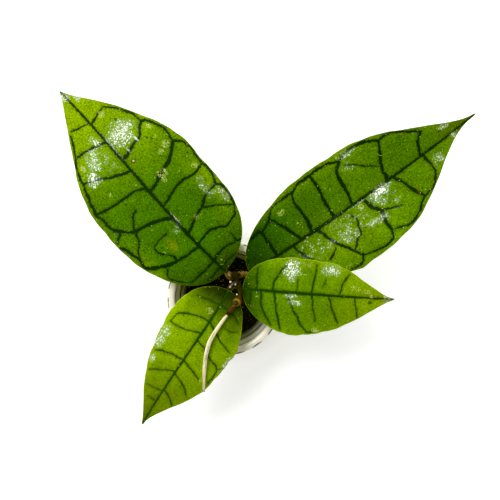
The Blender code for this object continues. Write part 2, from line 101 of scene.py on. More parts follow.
class Graph:
    """The node tree of one material or of the world."""

    def __init__(self, owner: Material | bpy.types.World) -> None:
        """Start with an empty tree.

        Args:
            owner: what the tree belongs to.
        """
        owner.use_nodes = True
        self.owner = owner
        self.tree = owner.node_tree
        self.tree.nodes.clear()

    @classmethod
    def of(cls, name: str) -> "Graph":
        """A graph for a new material."""
        return cls(bpy.data.materials.new(name))

    def add(self, kind: str, settings: dict | None = None, inputs: dict | None = None) -> bpy.types.Node:
        """Add a node.

        Args:
            kind: the node's type.
            settings: its properties, which are set first; stops are a colour ramp's (place, colour) pairs.
            inputs: values, sockets or signals for its inputs, by name or number.

        Returns:
            The new node.
        """
        node = self.tree.nodes.new(kind)
        for name, value in (settings or {}).items():
            if name == "stops":
                elements = node.color_ramp.elements
                while len(elements) < len(value):
                    elements.new(0.5)
                for element, (place, colour) in zip(elements, value):
                    element.position = place
                    element.color = (*colour, 1.0)
            else:
                setattr(node, name, value)
        for key, value in (inputs or {}).items():
            value = value.socket if isinstance(value, Signal) else value
            if isinstance(value, Socket):
                self.tree.links.new(value, node.inputs[key])
            elif isinstance(value, tuple) and len(value) == 3 and node.inputs[key].type == "RGBA":
                node.inputs[key].default_value = (*value, 1.0)
            else:
                node.inputs[key].default_value = value
        return node

    def attribute(self, name: str) -> Signal:
        """A number stored at the mesh's points."""
        return Signal(self, self.add("ShaderNodeAttribute", {"attribute_name": name}).outputs["Fac"])

    def place(self, stretch: tuple = (1.0, 1.0, 1.0), shift: float = 0.0) -> Socket:
        """Object coordinates for one pattern.

        Args:
            stretch: scale along each axis.
            shift: moves the pattern, so that two differ.

        Returns:
            The coordinates' socket.
        """
        source = self.add("ShaderNodeTexCoord").outputs["Object"]
        inputs = {"Vector": source, "Scale": stretch, "Location": (shift, -shift, 0.7 * shift)}
        return self.add("ShaderNodeMapping", None, inputs).outputs["Vector"]

    def axes(self) -> list[Signal]:
        """Object coordinates as three numbers, in millimetres."""
        split = self.add("ShaderNodeSeparateXYZ", None, {"Vector": self.place()})
        return [Signal(self, output) / MM for output in split.outputs]

    def noise(self, size: float, detail: float = 2.0, stretch: tuple = (1.0, 1.0, 1.0), shift: float = 0.0,
              warp: float = 0.0) -> Signal:
        """Soft noise.

        Args:
            size: width of its patches, in millimetres.
            detail: octaves of finer noise in it.
            stretch: scale along each axis.
            shift: moves the pattern.
            warp: how much its patches are bent out of shape.

        Returns:
            A number around a half.
        """
        inputs = {"Vector": self.place(stretch, shift), "Scale": 1.0 / (size * MM), "Detail": detail,
                  "Distortion": warp}
        return Signal(self, self.add("ShaderNodeTexNoise", None, inputs).outputs["Fac"])

    def cells(self, size: float, shift: float) -> tuple[Signal, Signal]:
        """Scattered points.

        Args:
            size: mean distance between two points, in millimetres.
            shift: moves the pattern.

        Returns:
            The distance to the nearest point in cells, and a random number of that point.
        """
        inputs = {"Vector": self.place(shift=shift), "Scale": 1.0 / (size * MM)}
        node = self.add("ShaderNodeTexVoronoi", None, inputs)
        split = self.add("ShaderNodeSeparateColor", None, {"Color": node.outputs["Color"]})
        return Signal(self, node.outputs["Distance"]), Signal(self, split.outputs["Red"])

    def specks(self, size: float, shift: float, radii: tuple, chances: tuple, crowd: Signal | None = None
               ) -> Signal:
        """Scattered round specks.

        Args:
            size: mean distance between two of them, if each point had one, in millimetres.
            shift: moves the pattern.
            radii: where a speck's soft edge ends and begins, in cells.
            chances: shares of the points below which there is no speck and above which it is whole.
            crowd: raises the chance of a speck.

        Returns:
            1 on the specks.
        """
        distance, chance = self.cells(size, shift)
        chance = chance if crowd is None else chance + crowd
        return self.soften(distance, *radii) * self.soften(chance, *chances)

    def soften(self, value: Signal, low: float, high: float) -> Signal:
        """Smooth step.

        Args:
            value: what is looked at.
            low: where it is still 0.
            high: where it is already 1, and below low for a step that falls.

        Returns:
            A number from 0 to 1.
        """
        flipped = low > high
        first, last = (high, low) if flipped else (low, high)
        start, end = (1.0, 0.0) if flipped else (0.0, 1.0)
        inputs = {"Value": value, "From Min": first, "From Max": last, "To Min": start, "To Max": end}
        node = self.add("ShaderNodeMapRange", {"interpolation_type": "SMOOTHSTEP"}, inputs)
        return Signal(self, node.outputs["Result"])

    def mix(self, share: Signal | float, first: object, second: object) -> Socket:
        """Blend two colours or colour sockets: 0 gives the first, 1 the second."""
        return self.add("ShaderNodeMix", {"data_type": "RGBA"}, {0: share, 6: first, 7: second}).outputs[2]

    def layers(self, colour: object, *coats: tuple) -> Socket:
        """Lay coats over a colour, one after the other.

        Args:
            colour: the lowest colour.
            coats: pairs of share and colour.

        Returns:
            The colour of them all.
        """
        for share, coat in coats:
            colour = self.mix(share, colour, coat)
        return colour

    def scale(self, colour: Socket, factor: Signal) -> Socket:
        """A colour made darker or lighter."""
        node = self.add("ShaderNodeVectorMath", {"operation": "SCALE"}, {"Vector": colour, "Scale": factor})
        return node.outputs["Vector"]

    def ramp(self, value: Signal, stops: tuple) -> Socket:
        """Colour along (place, colour) stops."""
        return self.add("ShaderNodeValToRGB", {"stops": stops}, {"Fac": value}).outputs["Color"]

    def bump(self, height: Signal, depth: float, under: Socket | None = None) -> Socket:
        """Relief from a height.

        Args:
            height: the height, around 0 to 1.
            depth: the size of one unit of it, in millimetres.
            under: a normal that this relief is added to.

        Returns:
            The normal.
        """
        inputs = {"Height": height, "Distance": depth * MM, "Strength": 1.0}
        if under is not None:
            inputs["Normal"] = under
        return self.add("ShaderNodeBump", None, inputs).outputs["Normal"]

    def surface(self, colour: object, roughness: Signal | float, normal: Socket, **others: object
                ) -> Material:
        """Close the graph with a Principled surface.

        Args:
            colour: a colour or a colour socket.
            roughness: roughness, a number or a signal.
            normal: the relief's normal.
            others: further inputs, with _ for each space in their names.

        Returns:
            The finished material.
        """
        inputs = {"Base Color": colour, "Roughness": roughness, "Normal": normal}
        inputs.update({name.replace("_", " "): value for name, value in others.items()})
        shader = self.add("ShaderNodeBsdfPrincipled", None, inputs)
        self.add("ShaderNodeOutputMaterial", None, {"Surface": shader.outputs["BSDF"]})
        return self.owner


class Patch(Enum):
    """What a spot on a blade's upper face changes."""
    SHINE = "shine"      # mirrors the light through the coat, broken up like salt, and is also painted pale as a highlight and reflection
    GLINT = "glint"      # mirrors the light on a vein too, and is also painted pale as a highlight
    PALE = "pale"        # fresher green
    FLECK = "fleck"      # curly pale marks
    STAIN = "stain"      # dark dots
    WARM = "warm"        # yellow tinge
    SCAR = "scar"        # white dot with a brown ring


@dataclass(frozen=True)
class LeafFinish:
    """Waxy upper face of a leaf, green cells between a dark net of veins, and its paler underside.

    Tones run from the base to the tip, in rows of place in hundredths, then red and green in thousandths,
    and blue where it isn't 2. Their dark start near the base is painted shade, where the blade lies under
    the stem and the other leaves.
    """
    tones: tuple
    fresh: Colour
    ink: Colour
    rim: Colour
    grain: float = 2.8           # contrast of the fine grain
    teeth: float = 2.2           # how ragged the veins are, in millimetres
    blur: float = 0.0            # how much softer than sharp the veins' edges are, in millimetres
    dust: float = 0.60           # how clear the stray pale specks are: pale dust, partly a painted highlight for the leaf's sparkle
    dull: float = 0.62           # roughness away from the shiny spots
    salt: float = 4.5            # how strongly a shiny spot is broken up
    painted_highlight: float = 0.85          # painted highlight: how pale a shiny spot is painted, over the coat's real gloss
    painted_haze: float = 0.38           # painted reflection: how pale the blade is painted round the broken light
    painted_highlight_tone: Colour = (0.80, 0.86, 0.72)
    painted_haze_tone: Colour = (0.30, 0.42, 0.19)
    warm: Colour = (0.27, 0.27, 0.003)
    fleck: Colour = (0.60, 0.68, 0.22)
    dust_and_sparkle_tone: Colour = (0.60, 0.68, 0.34)
    scar_ring: Colour = (0.10, 0.035, 0.004)
    scar_dot: Colour = (0.50, 0.46, 0.30)
    under_dark: Colour = (0.16, 0.24, 0.045)
    under_light: Colour = (0.23, 0.33, 0.075)
    under_vein: Colour = (0.045, 0.085, 0.03)
    under_spot: Colour = (0.12, 0.07, 0.03)

    def stops(self) -> list[tuple[float, Colour]]:
        """The tones as a ramp's stops."""
        full = [(*row, 2)[:4] for row in self.tones]
        return [(row[0] / 100, (row[1] / 1000, row[2] / 1000, row[3] / 1000)) for row in full]

    def top(self, name: str) -> Material:
        """The upper face.

        Args:
            name: the material's name.

        Returns:
            The material.
        """
        graph = Graph.of(name)
        vein, edge, along, rib = (graph.attribute(key) for key in ("vein", "edge", "along", "rib"))
        felt = {patch: graph.attribute(patch.value) for patch in Patch}
        clouds = graph.noise(22.0) * 0.5 + graph.noise(5.0, 3.0, shift=0.3) * 0.5
        rim_share = graph.soften(along, 0.08, 0.30) * graph.soften(along, 1.0, 0.75)
        # the tones' dark start near the base is painted shade
        colour = graph.layers(
            graph.ramp(along + (clouds - 0.5) * 0.10, self.stops()),
            (felt[Patch.PALE], self.fresh),
            (graph.soften(edge, 7.0, 0.5) * rim_share * 0.28, self.fresh),
            (felt[Patch.WARM] * 0.45, self.warm),
        )
        fine = graph.noise(1.0, 3.0, shift=0.9)
        shade = 1.0 - graph.soften(vein, 2.2, 0.0) * 0.25
        colour = graph.scale(colour, (1.0 + (clouds - 0.5) * 0.9 + (fine - 0.5) * self.grain) * shade)
        ragged = vein + (graph.noise(1.0, shift=0.5) - 0.5) * self.teeth
        ragged = ragged + (graph.noise(6.0, 1.0, shift=6.3) - 0.5) * self.teeth * 0.45
        ink = graph.soften(ragged, 0.42 + self.blur, -0.12 - self.blur)
        colour = self.marks(graph, graph.mix(ink * 0.97, colour, self.ink), felt, edge)
        broken = (graph.noise(0.85, 1.0, stretch=(1.0, 0.75, 1.0), shift=3.3) - 0.5) * self.salt
        uneven = (graph.noise(4.0, 3.0, shift=7.1) - 0.5) * 1.3
        spot = felt[Patch.SHINE] + uneven * graph.soften(felt[Patch.SHINE], 0.02, 0.30)
        # painted reflection, a pale veil round the shiny spots
        painted_haze = graph.soften(spot, 0.08, 0.75) * self.painted_haze * (1.0 - ink * 0.5)
        lit = graph.soften(spot * 0.75 + broken, 0.72, 0.92) * graph.soften(spot, 0.15, 0.55)
        lit = lit * (1.0 - ink * 0.7)
        lit = lit.larger(graph.soften(felt[Patch.GLINT] + broken * 0.25, 0.30, 0.80) * 0.6)
        # painted highlight and painted reflection laid into the colour where the coat shines
        colour = graph.layers(
            colour,
            (graph.soften(edge, 0.75, 0.25) * (0.25 + rim_share * 0.50), self.rim),
            (painted_haze, self.painted_haze_tone),
            (lit * self.painted_highlight, self.painted_highlight_tone),
        )
        roughness = self.dull - lit * 0.30 + (clouds - 0.5) * 0.15
        normal = graph.bump(graph.noise(0.95, 1.0, shift=5.1), 0.16)
        normal = graph.bump(graph.soften(rib, 0.75, 0.1) - ink * 0.4, 0.14, normal)
        wax = {"Specular_IOR_Level": 0.05, "Coat_Weight": lit, "Coat_Roughness": 0.22}
        return graph.surface(colour, roughness, normal, **wax)

    def marks(self, graph: Graph, colour: Socket, felt: dict[Patch, Signal], edge: Signal) -> Socket:
        """Lay flecks, pale dust specks that are partly a painted highlight for sparkle, freckles, stains and
        scars over the green.

        Args:
            graph: the material's graph.
            colour: the green.
            felt: how strongly each kind of spot is felt.
            edge: distance from the margin, in millimetres.

        Returns:
            The colour with its marks.
        """
        worm = abs(graph.noise(1.5, 1.0, shift=1.7, warp=1.2) - 0.5)
        curls = graph.soften(worm, 0.055, 0.02) * graph.soften(felt[Patch.FLECK], 0.30, 0.55)
        stray = graph.soften(graph.noise(3.6, 1.0, shift=1.7, warp=1.6), 0.745, 0.775) * 0.6
        crowd = graph.soften(edge, 9.0, 1.0) * 0.10
        dust = graph.specks(1.7, 2.3, (0.26, 0.14), (0.960, 0.970), crowd)
        freckles = graph.specks(6.5, 4.1, (0.095, 0.06), (0.55, 0.57))
        dots = freckles.larger(graph.soften(felt[Patch.STAIN], 0.35, 0.70))
        return graph.layers(
            colour,
            (curls.larger(stray) * 0.85, self.fleck),
            (dust * self.dust, self.dust_and_sparkle_tone),
            (dots * 0.75, self.ink),
            (graph.soften(felt[Patch.SCAR], 0.25, 0.50) * 0.9, self.scar_ring),
            (graph.soften(felt[Patch.SCAR], 0.68, 0.82), self.scar_dot),
        )

    def underside(self, name: str) -> Material:
        """The paler, duller lower face.

        Args:
            name: the material's name.

        Returns:
            The material.
        """
        graph = Graph.of(name)
        vein, edge = graph.attribute("vein"), graph.attribute("edge")
        clouds = graph.noise(18.0, 3.0, shift=0.8)
        ragged = vein + (graph.noise(1.5, shift=0.4) - 0.5) * 0.8
        colour = graph.layers(
            graph.mix(graph.soften(clouds, 0.3, 0.7), self.under_dark, self.under_light),
            (graph.soften(ragged, 0.5, -0.3) * 0.6, self.under_vein),
            (graph.specks(5.0, 1.1, (0.12, 0.05), (0.6, 0.62)) * 0.5, self.under_spot),
            (graph.soften(edge, 0.9, 0.2) * 0.6, self.rim),
        )
        roughness = 0.52 + (graph.noise(3.0) - 0.5) * 0.2
        normal = graph.bump(graph.noise(1.0, 3.0, shift=2.0), 0.12)
        return graph.surface(colour, roughness, normal, Specular_IOR_Level=0.4)


MATURE_LEAF = LeafFinish(
    tones=((0, 17, 42), (6, 34, 96), (20, 49, 160), (33, 46, 143), (47, 51, 152), (57, 75, 184),
           (69, 140, 265), (82, 190, 325), (97, 215, 335)),
    fresh=(0.17, 0.30, 0.003), ink=(0.0006, 0.018, 0.0165), rim=(0.17, 0.23, 0.030),
)
GLOSSY_LEAF = LeafFinish(
    tones=((0, 3, 24), (6, 6, 40), (19, 24, 106), (31, 42, 130), (44, 52, 155), (56, 70, 178),
           (70, 60, 165), (82, 60, 150), (96, 90, 150, 3)),
    fresh=(0.14, 0.26, 0.003), ink=(0.0006, 0.015, 0.0165), rim=(0.17, 0.23, 0.030),
)
YOUNG_LEAF = LeafFinish(
    tones=((0, 6, 14), (7, 12, 27), (19, 58, 118), (31, 150, 270), (44, 190, 330), (56, 200, 335),
           (69, 148, 255), (81, 128, 208), (95, 85, 140)),
    fresh=(0.26, 0.41, 0.003), ink=(0.0060, 0.045, 0.014), rim=(0.34, 0.46, 0.04),
    grain=1.7, teeth=1.0, blur=0.15, dust=0.25,
)
HALF_GROWN_LEAF = LeafFinish(
    tones=((0, 11, 33), (6, 34, 94), (19, 90, 208), (31, 112, 235), (56, 115, 240), (69, 165, 290),
           (81, 180, 310), (95, 220, 320)),
    fresh=(0.23, 0.38, 0.003), ink=(0.0035, 0.040, 0.014), rim=(0.34, 0.46, 0.04),
    grain=1.9, teeth=1.0, blur=0.15, dust=0.25,
)


@dataclass(frozen=True)
class PetioleFinish:
    """Short leaf stalk, brown at the node, that turns green under the blade."""
    node: Colour = (0.18, 0.110, 0.032)
    middle: Colour = (0.03, 0.016, 0.014)
    blade: Colour = (0.016, 0.022, 0.010)
    streak: Colour = (0.022, 0.010, 0.010)

    def material(self, name: str) -> Material:
        """The stalk's skin.

        Args:
            name: the material's name.

        Returns:
            The material.
        """
        graph = Graph.of(name)
        stops = ((0.05, self.middle), (0.20, self.node), (0.36, self.node), (0.52, self.blade))
        streaks = graph.noise(1.3, 3.0, stretch=(1.0, 0.45, 1.0), shift=0.6)
        colour = graph.ramp(graph.attribute("along"), stops)
        colour = graph.mix(graph.soften(streaks, 0.44, 0.56) * 0.85, colour, self.streak)
        roughness = 0.34 + (graph.noise(1.0) - 0.5) * 0.2
        normal = graph.bump(graph.noise(0.6, 3.0, shift=1.5), 0.10)
        return graph.surface(colour, roughness, normal, Specular_IOR_Level=0.3)


DARK_STALK = PetioleFinish(
    node=(0.010, 0.006, 0.008), middle=(0.012, 0.007, 0.008), blade=(0.012, 0.018, 0.006),
    streak=(0.030, 0.015, 0.012),
)


@dataclass(frozen=True)
class GlazeFinish:
    """Cream glaze with brushed dark dashes in rows round the wall."""
    cream: Colour = (0.98, 0.92, 0.77)
    warm: Colour = (0.93, 0.85, 0.67)
    brush: Colour = (0.014, 0.028, 0.016)
    speck: Colour = (0.30, 0.21, 0.11)
    painted_lip_shade: Colour = (0.42, 0.41, 0.33)        # painted shade inside, under the lip
    clay: Colour = (0.50, 0.40, 0.27)        # bare foot
    first_row: float = 74.2      # height of the top row, on the lip's shoulder
    row_pitch: float = 11.5
    rows: int = 6
    dashes: int = 18             # in each row
    dash_share: float = 0.56     # of the pitch that a dash takes
    dash_height: float = 0.95
    turn: float = 0.25           # where the first dash lies, in pitches

    def dash(self, graph: Graph, x: Signal, y: Signal, z: Signal) -> Signal:
        """The brushed dashes.

        Args:
            graph: the material's graph.
            x: place along X, in millimetres.
            y: place along Y.
            z: height.

        Returns:
            1 on a dash.
        """
        wander = graph.noise(9.0, 1.0, shift=0.2) - 0.5
        ragged = graph.noise(1.2, 3.0, shift=0.7) - 0.5
        level = (z - self.first_row + wander * 1.1) / self.row_pitch + 0.5
        row = level.floor()
        off_row = abs(level.fraction() - 0.5) * self.row_pitch + ragged * 0.7
        turn = y.angle_to(x) / math.tau * self.dashes + self.turn
        off_dash = abs((turn + (row * 0.5).fraction()).fraction() - 0.5) + ragged * 0.04 + wander * 0.05
        half, reach = self.dash_height / 2, self.dash_share / 2
        dash = graph.soften(off_row, half + 0.12, half - 0.12)
        dash = dash * graph.soften(off_dash, reach + 0.012, reach - 0.012)
        dash = dash * graph.soften((x * x + y * y).root(), 25.0, 26.0)
        return dash * (graph.soften(row, 0.5, 0.4) * graph.soften(row, 0.4 - self.rows, 0.6 - self.rows))

    def material(self, name: str) -> Material:
        """The glaze.

        Args:
            name: the material's name.

        Returns:
            The material.
        """
        graph = Graph.of(name)
        x, y, z = graph.axes()
        inner_wall, depth = graph.attribute("inside"), graph.attribute("depth")
        dash = self.dash(graph, x, y, z) * (1.0 - inner_wall)
        clouds = graph.noise(16.0, 3.0, shift=1.4)
        # painted shade on the inner wall just below the lip, by depth
        painted_lip_shade = graph.soften(depth, 1.0, 3.0) * graph.soften(depth, 9.0, 5.0) * inner_wall
        foot = graph.soften(z, 1.6, 0.9)
        colour = graph.layers(
            graph.mix(graph.soften(clouds, 0.3, 0.75) * 0.55, self.cream, self.warm),
            (graph.specks(3.4, 2.6, (0.10, 0.05), (0.80, 0.82)) * 0.6, self.speck),
            (painted_lip_shade * 0.55, self.painted_lip_shade),
            (foot * 0.8, self.clay),
            (dash * 0.95, self.brush),
        )
        roughness = 0.16 + (clouds - 0.5) * 0.12 + foot * 0.45
        normal = graph.bump(graph.noise(7.0, 1.0, stretch=(1.0, 1.0, 2.5), shift=0.5), 0.25)
        normal = graph.bump(dash + graph.noise(0.8) * 0.15, 0.08, normal)
        return graph.surface(colour, roughness, normal, Coat_Weight=0.3, Coat_Roughness=0.08)


@dataclass(frozen=True)
class PlasticFinish:
    """Moulded black plastic painted a lighter grey as a painted sheen for its shiny rim, with fine scuffs and
    potting dust.
    """
    # painted sheen: far lighter than black plastic, for the grey shine of the rim
    base: Colour = (0.20, 0.20, 0.21)
    dust: Colour = (0.20, 0.19, 0.19)
    speck: Colour = (0.30, 0.27, 0.22)

    def material(self, name: str) -> Material:
        """The plastic.

        Args:
            name: the material's name.

        Returns:
            The material.
        """
        graph = Graph.of(name)
        scuffs = graph.noise(1.0, 4.0, stretch=(1.0, 1.0, 6.0), shift=0.4)
        grime = graph.soften(graph.noise(5.0, 4.0, shift=1.2), 0.52, 0.75)
        colour = graph.mix(grime * 0.35, self.base, self.dust)
        colour = graph.mix(graph.specks(1.6, 0.9, (0.16, 0.08), (0.84, 0.86)) * 0.6, colour, self.speck)
        roughness = 0.34 + grime * 0.3 + (scuffs - 0.5) * 0.15
        return graph.surface(colour, roughness, graph.bump(scuffs, 0.05), Specular_IOR_Level=0.6)


@dataclass(frozen=True)
class SoilFinish:
    """One kind of crumb in damp potting mix, in two tones that lie in patches."""
    first: Colour
    second: Colour
    low: float                   # of the noise, below which the first tone is pure
    high: float                  # of the noise, above which the second tone is pure
    dull: float
    uneven: float                # how much the roughness varies
    patch: float = 0.0           # width of the patches, in millimetres, where the grain doesn't make them
    speck: Colour | None = None

    def material(self, name: str) -> Material:
        """The crumb's skin.

        Args:
            name: the material's name.

        Returns:
            The material.
        """
        graph = Graph.of(name)
        grain = graph.noise(1.1, 4.0, shift=0.3)
        tone = graph.noise(self.patch, 3.0, shift=0.8) if self.patch else grain
        colour = graph.mix(graph.soften(tone, self.low, self.high), self.first, self.second)
        if self.speck:
            colour = graph.mix(graph.specks(1.0, 1.9, (0.20, 0.12), (0.90, 0.92)) * 0.7, colour, self.speck)
        roughness = self.dull + (grain - 0.5) * self.uneven
        normal = graph.bump(graph.noise(0.5, 3.0, shift=2.2), 0.15)
        return graph.surface(colour, roughness, normal, Specular_IOR_Level=0.08)


class Crumb(Enum):
    """What lies in the potting mix."""
    FINES = SoilFinish(
        first=(0.0012, 0.0009, 0.014), second=(0.009, 0.0065, 0.026), low=0.4, high=0.7, dull=0.62,
        uneven=0.5, speck=(0.30, 0.28, 0.22),
    )
    BARK = SoilFinish(
        first=(0.004, 0.003, 0.016), second=(0.030, 0.017, 0.028), low=0.35, high=0.7, dull=0.55,
        uneven=0.4, patch=3.0,
    )
    PERLITE = SoilFinish(
        first=(0.62, 0.58, 0.54), second=(0.22, 0.19, 0.17), low=0.35, high=0.65, dull=0.75, uneven=0.2,
    )


@dataclass(frozen=True)
class BarkFinish:
    """Skin of the stem: nearly black below, olive above, with an orange knob and a red-brown dried end."""
    stops: tuple = (
        (0.00, (0.010, 0.007, 0.010)), (0.42, (0.012, 0.007, 0.010)), (0.50, (0.014, 0.008, 0.008)),
        (0.57, (0.005, 0.004, 0.006)), (0.68, (0.005, 0.004, 0.006)), (0.73, (0.010, 0.008, 0.006)),
        (0.80, (0.018, 0.015, 0.008)), (0.835, (0.042, 0.030, 0.012)), (0.855, (0.26, 0.125, 0.020)),
        (0.885, (0.17, 0.075, 0.018)), (0.90, (0.026, 0.013, 0.012)), (0.92, (0.080, 0.024, 0.020)),
        (0.97, (0.070, 0.020, 0.018)), (0.985, (0.010, 0.005, 0.006)),
    )
    flake: Colour = (0.30, 0.16, 0.07)
    crack: Colour = (0.008, 0.005, 0.003)
    ring: Colour = (0.30, 0.145, 0.024)      # round the cut
    heart: Colour = (0.022, 0.024, 0.014)    # of the cut
    # pale flecks in the cut's heart, partly its pale core and partly painted glints
    pith_and_glints: Colour = (0.30, 0.30, 0.24)

    def material(self, name: str) -> Material:
        """The bark.

        Args:
            name: the material's name.

        Returns:
            The material.
        """
        graph = Graph.of(name)
        ragged = (graph.noise(1.2, shift=0.2) - 0.5) * 0.03
        flakes = graph.noise(0.9, 4.0, shift=0.7)
        cut = graph.attribute("cut")
        heart = graph.soften(cut + ragged * 12.0, 2.15, 1.85)
        distance, _ = graph.cells(0.7, 1.3)
        colour = graph.layers(
            graph.ramp(graph.attribute("along") + ragged, self.stops),
            (graph.soften(flakes, 0.55, 0.75) * 0.10, self.flake),
            (graph.soften(flakes, 0.45, 0.25) * 0.6, self.crack),
            (graph.soften(cut, 3.1, 2.7) * 0.8, self.ring),
            (heart, self.heart),
            (graph.soften(distance, 0.30, 0.18) * heart * 0.6, self.pith_and_glints),
        )
        roughness = 0.48 + (graph.noise(0.8, shift=1.1) - 0.5) * 0.3
        return graph.surface(colour, roughness, graph.bump(flakes, 0.20), Specular_IOR_Level=0.08)


@dataclass(frozen=True)
class CrumbAndGlintFinish:
    """Pale, slightly shiny crumbs of old bark and root stubs on the stem, set where it shows glints: partly
    painted highlight.
    """
    pale: Colour = (0.75, 0.70, 0.62)
    brown: Colour = (0.30, 0.16, 0.08)

    def material(self, name: str) -> Material:
        """The crumbs' skin.

        Args:
            name: the material's name.

        Returns:
            The material.
        """
        graph = Graph.of(name)
        patches = graph.noise(0.9, shift=0.4)
        colour = graph.mix(graph.soften(patches, 0.45, 0.62), self.pale, self.brown)
        return graph.surface(colour, 0.35 + (patches - 0.5) * 0.3, graph.bump(patches, 0.2))


@dataclass(frozen=True)
class DryWoodFinish:
    """Cream core of a dried shoot, streaked lengthwise and spotted."""
    cream: Colour = (0.74, 0.65, 0.37)
    pale: Colour = (0.88, 0.82, 0.56)
    streak: Colour = (0.34, 0.17, 0.06)
    spot: Colour = (0.14, 0.07, 0.035)
    collar: Colour = (0.03, 0.012, 0.008)    # where it leaves the bark
    tip: Colour = (0.16, 0.09, 0.04)

    def material(self, name: str) -> Material:
        """The dry wood.

        Args:
            name: the material's name.

        Returns:
            The material.
        """
        graph = Graph.of(name)
        fibre, along = graph.attribute("fibre"), graph.attribute("along")
        colour = graph.layers(
            graph.mix(graph.soften(fibre, 0.2, 0.75), self.cream, self.pale),
            (graph.soften(fibre, 0.40, 0.18) * 0.8, self.streak),
            (graph.soften(graph.noise(1.5, 3.0, shift=0.8), 0.63, 0.72) * 0.7, self.spot),
            (graph.soften(along, 0.015, 0.0), self.collar),
            (graph.soften(along, 0.96, 1.0) * 0.7, self.tip),
        )
        normal = graph.bump(fibre + graph.noise(0.5) * 0.4, 0.15)
        return graph.surface(colour, 0.55 + (fibre - 0.5) * 0.3, normal)


@dataclass(frozen=True)
class FloorFinish:
    """Matt white floor that gives off light, less of it near the pot: a painted shadow round the pot's foot.
    """
    white: Colour = (0.93, 0.93, 0.92)
    shade: Colour = (0.91, 0.915, 0.90)
    glow: float = 0.58           # light that it gives off away from the pot
    dim: float = 0.41            # share of that close to the pot, a painted shadow
    middle: float = 0.64         # share of that a bit further out, where the painted shadow fades
    near: tuple = (46.0, 64.0)   # how far from the pot's axis dim gives way to middle, in millimetres
    far: tuple = (66.0, 160.0)   # and middle to all of it

    def material(self, name: str) -> Material:
        """The floor's surface.

        Args:
            name: the material's name.

        Returns:
            The material.
        """
        graph = Graph.of(name)
        x, y, _ = graph.axes()
        distance = (x * x + y * y).root()
        glow = graph.mix(graph.soften(distance, *self.near), (self.dim,) * 3, (self.middle,) * 3)
        glow = graph.mix(graph.soften(distance, *self.far), glow, (1.0, 1.0, 1.0))
        normal = graph.bump(graph.noise(2.0), 0.02)
        colour = graph.mix(graph.noise(120.0), self.white, self.shade)
        return graph.surface(colour, 0.85, normal, Emission_Color=glow, Emission_Strength=self.glow)


def smooth_route(points: Array | tuple, steps: int) -> Array:
    """Read a smooth curve through points of any number of columns.

    Args:
        points: the points that it passes.
        steps: samples between each two of them.

    Returns:
        The samples, the last point among them.
    """
    table = np.array(points, float)
    table = np.vstack((2 * table[0] - table[1], table, 2 * table[-1] - table[-2]))
    route = []
    for a, b, c, d in zip(table, table[1:], table[2:], table[3:]):
        for u in np.arange(steps) / steps:
            route.append(0.5 * (2 * b + (c - a) * u + (2 * a - 5 * b + 4 * c - d) * u ** 2
                                + (3 * b - 3 * c + d - a) * u ** 3))
    route.append(table[-2])
    return np.array(route)


def lengths_along(route: Array) -> Array:
    """Length of a route up to each of its points."""
    return np.concatenate(([0.0], np.cumsum(np.linalg.norm(np.diff(route[:, :3], axis=0), axis=1))))


def nearest(points: Array, route: Array) -> Array:
    """Number of the route's point that lies nearest to each point."""
    return np.argmin(np.linalg.norm(points[:, None, :] - route[None, :, :3], axis=2), axis=1)


def off_line(points: Array, line: Array) -> Iterator[Array]:
    """Measure how far flat points lie from a line.

    Args:
        points: the points.
        line: the line's own points, in order.

    Returns:
        The points' distances from each stretch of the line in turn.
    """
    for start, end in zip(line, line[1:]):
        step = end - start
        share = np.clip(((points - start) @ step) / max(step @ step, 1e-9), 0.0, 1.0)
        yield np.linalg.norm(points - (start + share[:, None] * step), axis=1)


def cloud(points: Array, size: float, shift: float = 0.0) -> Array:
    """Soft noise from about -0.7 to 0.7 at points in millimetres, in patches of the given size."""
    offset = Vector((shift, 2 * shift, -shift))
    return np.array([noise.noise(Vector(point) / size + offset) for point in points])


def round_tube(angle: Array, length: Array, radius: float, stretch: float) -> Array:
    """Points on a round tube, at which noise gives lengthwise marks."""
    return np.column_stack((np.cos(angle) * radius, np.sin(angle) * radius, length / stretch))


def grid(rows: int, columns: int) -> tuple[BMesh, Array, Array]:
    """A flat grid that a formula then bends.

    Args:
        rows: faces along it.
        columns: faces across it.

    Returns:
        The grid, and the row and column number of each of its points.
    """
    shell = bmesh.new()
    bmesh.ops.create_grid(shell, x_segments=rows, y_segments=columns, size=1.0)
    flat = np.array([vertex.co for vertex in shell.verts])
    row = np.rint((flat[:, 0] + 1.0) / 2.0 * rows).astype(int)
    column = np.rint((flat[:, 1] + 1.0) / 2.0 * columns).astype(int)
    return shell, row, column


def points_of(shell: BMesh) -> Array:
    """A mesh's points, in millimetres."""
    return np.array([vertex.co for vertex in shell.verts]) / MM


def place_points(shell: BMesh, points: Array) -> None:
    """Move a mesh's points to places in millimetres."""
    for vertex, point in zip(shell.verts, points):
        vertex.co = point * MM


def mark(shell: BMesh, name: str, values: Array) -> None:
    """Store a number at each of a mesh's points.

    Args:
        shell: the mesh.
        name: what the numbers are called.
        values: the numbers, in the order of the points.
    """
    layer = shell.verts.layers.float.get(name) or shell.verts.layers.float.new(name)
    for vertex, value in zip(shell.verts, values):
        vertex[layer] = value


def weld(shell: BMesh) -> None:
    """Close the seams and poles of a bent grid and turn its faces outwards."""
    bmesh.ops.remove_doubles(shell, verts=shell.verts, dist=WELD * MM)
    bmesh.ops.recalc_face_normals(shell, faces=shell.faces)


